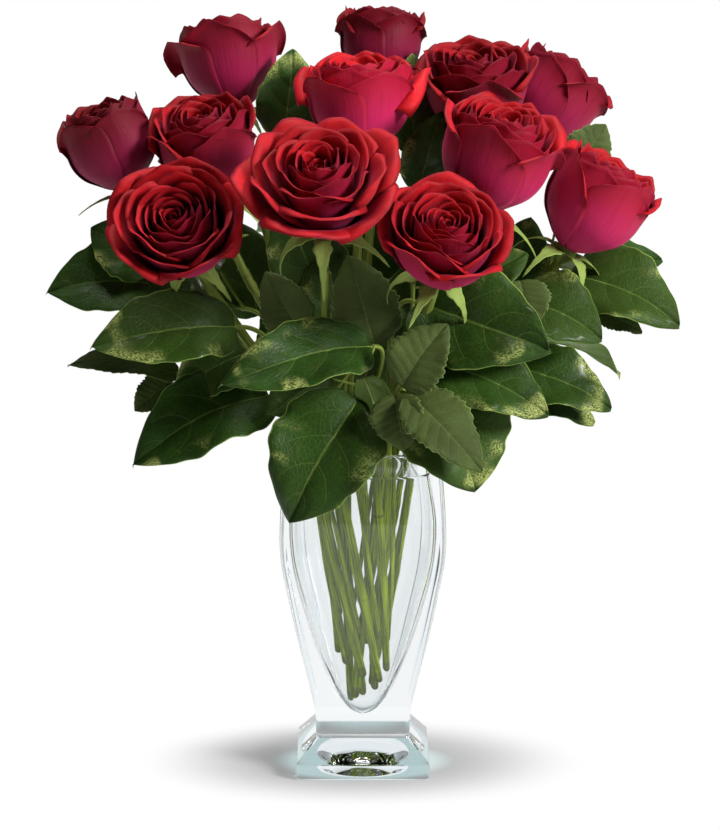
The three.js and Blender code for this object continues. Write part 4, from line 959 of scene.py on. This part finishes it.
def petal_shape(shape, rose, layer, step, rng):
    """One petal on its layer's cup. Its lip flares, ends in a fine hem, and turns out further at
    the sides than in the middle, which is left as a point."""
    name, _, _, _, opening, turn = rose[:6]
    seed = int(name[-2:])
    lip = layer["lip"]
    big = min(1.0, lip / WIDE_LIP)

    # the line of the cup, and how far the lip turns out over it
    line = np.array(layer["line"], float) + opening * np.array(layer["opened"], float)
    line = smooth_line(line, CUP_POINTS)
    line[:, 1] += np.linspace(0, 1, CUP_POINTS) ** 3 * rng.uniform(-2.4, 2.0)
    way = unit(np.gradient(line, axis=0))
    far = distances(line)
    cup = far[-1]
    low, high = layer["turn"]
    curl = low + (high - low) * (0.7 * rng.random() + 0.3 * opening)
    if name in OUTER_LIPS:
        curl = OUTER_LIPS[name][step] if layer is LAYERS[0] else 0.5 * curl

    # the top edge, lower at the sides and more so on one of them, with a point in its middle
    u = np.linspace(-1, 1, PETAL_COLUMNS)[None, :]
    wide = np.abs(u)
    lean = 1 + rng.uniform(-0.55, 0.55) * u
    point = rng.uniform(0.1, 1.0) * big
    top = (cup + lip) * (1 - (0.05 * wide + 0.11 * wide**3) * lean)
    top = top + 2.6 * point * np.exp(-((u / 0.2) ** 2))

    # how far the petal has bent out of the cup at each fine step: first the lip, then the hem
    run = np.linspace(0, 1, PETAL_STEPS + 1)[:, None] * top
    begin = cup * (1 - 0.2 * wide**1.5 * lean * (0.4 + 0.6 * big))
    flare = curl * (0.7 + 0.75 * wide**1.4 * lean)
    bent = flare * np.maximum(0, run - begin) / (lip + 0.12 * cup)
    hem = 0.9 + 1.9 * big
    edge = np.clip((run - top + hem) / hem, 0, 1)
    bent = bent + (0.4 + 0.4 * rng.random()) * edge**2 * (0.5 + 0.6 * wide)
    bent = np.minimum(bent, MOST_BENT)

    # the petal's line as (radius, height), its right edge out over its neighbour's left
    climb = unit(np.stack([np.interp(run, far, way[:, k]) for k in range(2)], axis=-1))
    normal = np.stack([climb[..., 1], -climb[..., 0]], axis=-1)
    sin, cos = np.sin(bent)[..., None], np.cos(bent)[..., None]
    forward = climb * cos + normal * sin
    facing = normal * cos - climb * sin
    flat = line[0] + np.cumsum(forward * (top / PETAL_STEPS)[..., None], axis=0)
    flat = flat + facing * (layer["overlap"] * u * np.minimum(1, run / 25))[..., None]
    rows = np.round(PETAL_STEPS * np.linspace(0, 1, PETAL_ROWS) ** 0.82).astype(int)
    flat, facing, run, v = flat[rows], facing[rows], run[rows], (rows / PETAL_STEPS)[:, None]

    # ruffles: broad ones at the lip, slow ones all over and fine ones at the very edge
    ruffle = (0.6 + 1.3 * opening) * v**4 * swing(u * rng.uniform(3.5, 6), rng)
    ruffle = ruffle + 0.35 * v**2 * swing(u * 3.1 + v * 4, rng)
    ruffle = ruffle + 0.22 * v**6 * swing(u * rng.uniform(11, 17), rng)
    flat = flat + facing * (ruffle * (0.3 + 0.7 * big))[..., None]

    # round the head, on a circle that isn't quite one
    bearing = turn + layer["offset"] + 360 / layer["count"] * step + rng.uniform(-9, 9)
    grow = np.minimum(1, run / (0.55 * cup))
    reach = layer["root"] + (layer["reach"] - layer["root"]) * grow * (2 - grow)
    reach = reach * (1 - 0.16 * (np.maximum(0, v - 0.72) / 0.28) ** 2)
    shrink = np.power(np.maximum(1, flat[..., 0] / np.maximum(line[-1, 0], 4)), -0.4)
    azimuth = math.radians(bearing) + np.radians(reach) * u * shrink
    wave = 1.5 * np.sin(2 * azimuth + seed) + 1.2 * np.cos(3 * azimuth + 2 * seed)
    radius = flat[..., 0] + wave * 2.6 * v * (0.15 + 0.35 * opening) * big
    middle = np.stack([radius * np.cos(azimuth), radius * np.sin(azimuth), flat[..., 1]], axis=-1)
    shape.sheet(middle[:, ::-1], PETAL_THICKNESS, u[:, ::-1], v, rng.random())


def bloom_shape(rose):
    """A head's petals, layer by layer."""
    rng = random.Random(BLOOM_SEED + int(rose[0][-2:]))
    shape = Shape()
    for layer in LAYERS:
        for step in range(layer["count"]):
            petal_shape(shape, rose, layer, step, rng)
    shape.move(0, head_matrix(rose))
    return shape


def draw(seed, index):
    """A number from 0 to 1 that depends only on its two seeds."""
    x = math.sin(seed * 12.9898 + index * 78.233) * 43758.5453
    return x - math.floor(x)


def sepal_shape(shape, seed, i, turn):
    """A long keeled sepal that leaves the calyx level and falls."""
    azimuth = math.radians(turn + 36 * i + 18 + 14 * (draw(seed, 200 + i) - 0.5))
    fall = SEPAL_FALL[0] + SEPAL_FALL[1] * draw(seed, 210 + i)
    length = SEPAL_LENGTH[0] + SEPAL_LENGTH[1] * draw(seed, 220 + i)
    out = np.array([math.cos(azimuth), math.sin(azimuth), 0])
    across = np.array([-math.sin(azimuth), math.cos(azimuth), 0])
    s = np.linspace(-0.08, 1, 18)[:, None]
    u = np.linspace(-1, 1, 7)[None, :]
    left = 1 - np.clip(s, 0, 1)
    angle = 0.3 - 1.3 * fall * s
    radius = SEPAL_OUT + length * s * np.cos(angle)
    height = SEPAL_UP + length * s * np.sin(angle) + 1.5 * left
    belly = np.exp(-(((s - 0.28) / 0.2) ** 2))
    half = SEPAL_HALF * left**0.75 * (0.75 + 0.6 * belly) + 0.2
    half = half * (1 + 0.12 * np.sin(s * 30))
    keel = 0.9 * np.abs(u) ** 1.5 * left
    middle = out * radius[..., None] + across * (u * half)[..., None]
    middle = middle + np.array([0, 0, 1]) * (height + keel)[..., None]
    shape.sheet(middle, LEAF_THICKNESS, u, s, 0.9, SEPAL_PART)


def calyx_shape(shape, rose):
    """The swollen calyx under the petals with its five long sepals."""
    first = len(shape.points)
    angles = np.linspace(0, 2 * np.pi, 20, endpoint=False)
    round_it = np.column_stack([np.cos(angles), np.sin(angles), np.ones(20)])
    shape.rings([round_it * (r, r, z) for r, z in smooth_line(CALYX_LINE, 18)])
    for i in range(0, 10, 2):
        sepal_shape(shape, int(rose[0][-2:]), i, rose[5])
    shape.move(first, head_matrix(rose))


def rose_green_shape(rose):
    """All that is green on a rose: stem, calyx with its sepals, thorns and leaves."""
    name, _, face, _, _, _, ring, bearing, cut = rose
    rng = random.Random(GREEN_SEED + int(name[-2:]))
    shape = Shape()
    end = np.array(head_matrix(rose) @ Vector((0, 0, STEM_TOP)))
    stem = Stem(ring, bearing, cut, end, face, ROSE_PULLS)
    stem_shape(shape, stem, ROSE_STEM, ROSE_SCARS, rng)
    calyx_shape(shape, rose)
    path = stem.at(np.linspace(0, 1, 60))
    way = unit(np.gradient(path, axis=0))
    for _ in range(THORNS):
        k = rng.randrange(6, 52)
        out = unit(np.cross(way[k], [rng.uniform(-1, 1) for _ in range(3)]))
        thorn(shape, path[k] + out * ROSE_STEM * 0.8, way[k], out, rng.uniform(*THORN_LENGTH))
    for owner, *leaf, stalk in ROSE_LEAVES:
        if owner == name:
            leaf_shape(shape, leaf, ROSE_LEAF, stem.at(stalk), rng)
    return shape


def sprig_shape(sprig):
    """A sprig of lemon leaf. Its stem runs into its first leaf."""
    name, bearing, cut, leaves = sprig
    rng = random.Random(sum(map(ord, name)))
    shape = Shape()
    start, end = (np.array(p, float) for p in leaves[0][:2])
    stem = Stem(OUTER_RING, bearing, cut, start, end - start, LEAF_PULLS)
    stem_shape(shape, stem, LEAF_STEM, LEAF_SCARS, rng)
    for k, leaf in enumerate(leaves):
        stem_point = stem.nearest(leaf[0]) if k else stem.at(FIRST_STALK)
        leaf_shape(shape, leaf, LEMON_LEAF, stem_point, rng)
    return shape


# ---- settings -----------------------------------------------------------------------------------


def colour(name, description, default):
    return FloatVectorProperty(
        name=name, description=description, default=default, size=3, min=0, max=1, subtype="COLOR"
    )


def amount(name, description, default, **more):
    return FloatProperty(name=name, description=description, default=default, **more)


class VaseLooks(bpy.types.PropertyGroup):
    """Sizes and colours of the vase and the water."""

    water_level: amount(
        "Water level", "Height of the water above the floor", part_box("water")[1].z,
        min=0.06, max=0.215, unit="LENGTH",
    )
    glass_tint: colour("Glass tint", "Colour that the glass gives to light", (0.93, 0.955, 0.965))
    water_tint: colour("Water tint", "Colour that the water gives to light", (0.99, 0.995, 0.99))
    glass_index: amount("Glass index", "Refractive index of the glass", 1.5, min=1, max=3)
    water_index: amount("Water index", "Refractive index of the water", 1.33, min=1, max=3)


class PlantLooks(bpy.types.PropertyGroup):
    """Colours of the roses and of the greenery."""

    petal: colour("Petal", "Main red of the petals", (0.36, 0.006, 0.01))
    petal_outside: colour("Petal outside", "Outer faces low on the petals", (0.38, 0.014, 0.08))
    petal_shade: colour("Petal shade", "Streaks, rims and depths", (0.07, 0.001, 0.003))
    stem: colour("Stem", "Green of the stems", (0.16, 0.21, 0.04))
    lemon_leaf: colour("Lemon leaf", "Face of the broad glossy leaves", (0.014, 0.041, 0.0045))
    rose_leaf: colour("Rose leaf", "Face of the toothed matt leaves", (0.048, 0.07, 0.016))
    sepal: colour("Sepal", "Sepals under the blooms", (0.27, 0.36, 0.08))


class StageLooks(bpy.types.PropertyGroup):
    """The floor, the light and the camera."""

    floor: colour("Floor", "Colour of the floor near the foot", (0.32, 0.32, 0.32))
    floor_glow: amount("Floor glow", "Light from the floor near the foot", 0.24, min=0, max=1)
    light: amount("Light", "Strength of the soft lights", 1.0, min=0, max=10)
    backdrop: amount("Backdrop", "Brightness all round", 1.0, min=0, max=10)
    camera_distance: amount("Camera distance", "From the vase's middle", 2.0, unit="LENGTH")
    camera_height: amount("Camera height", "Above the floor", 0.6284, unit="LENGTH")
    camera_pitch: amount(
        "Camera pitch", "How far the camera looks down", math.radians(10.97), unit="ROTATION"
    )
    lens: amount("Lens", "Focal length of the camera", 132.8, unit="CAMERA")


# ---- operators ----------------------------------------------------------------------------------


class ROSES_OT_vase(bpy.types.Operator):
    """Make the heavy glass vase."""

    bl_idname = "roses.vase"
    bl_label = "Vase"

    def execute(self, context):
        looks = context.scene.roses_vase
        glass = clear_finish("vase_glass", looks.glass_tint, looks.glass_index, 9.0, 1.0)
        make_piece("vase_body", vase_shape(), [glass], "vase_glass", "vase")
        return {"FINISHED"}


class ROSES_OT_water(bpy.types.Operator):
    """Fill the vase with water."""

    bl_idname = "roses.water"
    bl_label = "Water"

    def execute(self, context):
        looks = context.scene.roses_vase
        clear = clear_finish("clear_water", looks.water_tint, looks.water_index, 14.0, 0.2)
        make_piece("water_fill", water_shape(looks.water_level / MM), [clear], "water", "water")
        return {"FINISHED"}


class ROSES_OT_blooms(bpy.types.Operator):
    """Make the twelve blooms, petal by petal."""

    bl_idname = "roses.blooms"
    bl_label = "Blooms"

    def execute(self, context):
        velvet = petal_finish(context.scene.roses_plants)
        for rose in ROSES:
            name = rose[0]
            piece = make_piece(
                f"{name}_petals", bloom_shape(rose), [velvet], "petals", f"{name}_bloom"
            )
            mesh = piece.data
            # each head's painted light and shade, kept on its points for the petals' colour
            bright = mesh.attributes.new("painted_light_and_shade", "FLOAT", "POINT")
            bright.data.foreach_set("value", [HEAD_PAINTED_LIGHT_AND_SHADE.get(name, 1.0)] * len(mesh.vertices))
        return {"FINISHED"}


class ROSES_OT_stems(bpy.types.Operator):
    """Make the rose stems with their calyxes, sepals, thorns and toothed leaves."""

    bl_idname = "roses.stems"
    bl_label = "Rose stems"

    def execute(self, context):
        looks = context.scene.roses_plants
        finishes = [
            stem_finish(looks),
            leaf_finish("rose_leaf_matt", looks.rose_leaf, ROSE_LEAF, ROSE_LOOK),
            leaf_finish("sepal_green", looks.sepal, ROSE_LEAF, SEPAL_LOOK),
        ]
        for rose in ROSES:
            name, shape = rose[0], rose_green_shape(rose)
            make_piece(f"{name}_green", shape, finishes, "rose_green", f"{name}_stem")
        return {"FINISHED"}


class ROSES_OT_sprigs(bpy.types.Operator):
    """Make the sprigs of lemon leaf."""

    bl_idname = "roses.sprigs"
    bl_label = "Lemon leaf"

    def execute(self, context):
        looks = context.scene.roses_plants
        finishes = [
            stem_finish(looks),
            leaf_finish("lemon_leaf_gloss", looks.lemon_leaf, LEMON_LEAF, LEMON_LOOK),
        ]
        for sprig in SPRIGS:
            name = sprig[0]
            make_piece(f"{name}_leaves", sprig_shape(sprig), finishes, "leaf_green", name)
        return {"FINISHED"}


def soft_light(name, at, aim, width, height, watts):
    light = bpy.data.lights.new(name, "AREA")
    light.shape = "RECTANGLE"
    light.size, light.size_y = width, height
    light.energy = watts
    lamp = bpy.data.objects.new(name, light)
    bpy.context.scene.collection.objects.link(lamp)
    lamp.location = at
    lamp.rotation_euler = (Vector(aim) - Vector(at)).to_track_quat("-Z", "Y").to_euler()


def studio_world(strength):
    """A pale room: bright behind the bouquet, dim in front of it, and plain white to the eye."""
    world = bpy.data.worlds.new("studio")
    world.use_nodes = True
    nodes = Nodes(world.node_tree)
    way = nodes.split(nodes.here("Generated"))
    behind = nodes.math("MULTIPLY_ADD", way[0], ROOM_ASIDE, way[1])
    (front, dim), (back, bright) = ROOM_DIM, ROOM_BRIGHT
    glow = nodes.between(behind, front, back, dim * strength, bright * strength)
    ray = nodes.node("ShaderNodeLightPath").outputs
    through = ray["Is Transmission Ray"]
    share = nodes.math("MULTIPLY_ADD", through, 1 - ROOM_DIMMER, ROOM_DIMMER)
    room = nodes.tree.nodes["Background"]
    nodes.feed(room.inputs["Color"], rgb(ROOM_COLOUR))
    nodes.feed(room.inputs["Strength"], nodes.times(glow, share))
    white = nodes.node("ShaderNodeBackground", {"Color": rgb(WHITE)})
    kinds = {0: ray["Is Camera Ray"], 1: room.outputs[0], 2: white.outputs[0]}
    seen = nodes.node("ShaderNodeMixShader", kinds)
    nodes.feed(nodes.tree.nodes["World Output"].inputs[0], seen.outputs[0])
    return world


class ROSES_OT_stage(bpy.types.Operator):
    """Set the pale floor, the soft light and the camera."""

    bl_idname = "roses.stage"
    bl_label = "Stage"

    def execute(self, context):
        scene, looks = context.scene, context.scene.roses_stage
        mesh = bpy.data.meshes.new("floor")
        corners = [(-1, -1, 0), (1, -1, 0), (1, 1, 0), (-1, 1, 0)]
        mesh.from_pydata([Vector(c) * FLOOR_HALF for c in corners], [], [(0, 1, 2, 3)])
        mesh.materials.append(floor_finish(looks.floor, looks.floor_glow))
        floor = bpy.data.objects.new("floor", mesh)
        scene.collection.objects.link(floor)

        scene.world = studio_world(looks.backdrop)
        scene.view_settings.view_transform = "Standard"
        for *lamp, watts in LAMPS:
            soft_light(*lamp, watts * looks.light)

        camera = bpy.data.cameras.new("camera")
        camera.lens = looks.lens
        camera.sensor_width = FILM_WIDTH
        camera.dof.use_dof = False
        view = bpy.data.objects.new("camera", camera)
        scene.collection.objects.link(view)
        view.location = (CAMERA_ASIDE, -looks.camera_distance, looks.camera_height)
        view.rotation_euler = (math.pi / 2 - looks.camera_pitch, 0, 0)
        scene.camera = view
        return {"FINISHED"}


class ROSES_PT_panel(bpy.types.Panel):
    """Lists the settings and the pieces of the bouquet."""

    bl_idname = "ROSES_PT_panel"
    bl_label = "Roses in a vase"
    bl_space_type = "VIEW_3D"
    bl_region_type = "UI"
    bl_category = "Roses"

    def draw(self, context):
        for key in GROUPS:
            group, box = getattr(context.scene, key), self.layout.box()
            for name in group.__annotations__:
                box.prop(group, name)
        for operator in OPERATORS:
            self.layout.operator(operator.bl_idname)


OPERATORS = (
    ROSES_OT_vase, ROSES_OT_water, ROSES_OT_blooms, ROSES_OT_stems, ROSES_OT_sprigs,
    ROSES_OT_stage,
)
GROUPS = {"roses_vase": VaseLooks, "roses_plants": PlantLooks, "roses_stage": StageLooks}


def register():
    for item in (*GROUPS.values(), *OPERATORS, ROSES_PT_panel):
        bpy.utils.register_class(item)
    for key, group in GROUPS.items():
        setattr(bpy.types.Scene, key, PointerProperty(type=group))


def unregister():
    for key in GROUPS:
        delattr(bpy.types.Scene, key)
    for item in (ROSES_PT_panel, *reversed(OPERATORS), *reversed(GROUPS.values())):
        bpy.utils.unregister_class(item)


def main():
    register()
    bpy.ops.roses.vase()
    bpy.ops.roses.water()
    bpy.ops.roses.blooms()
    bpy.ops.roses.stems()
    bpy.ops.roses.sprigs()
    bpy.ops.roses.stage()


if __name__ == "__main__":
    main()
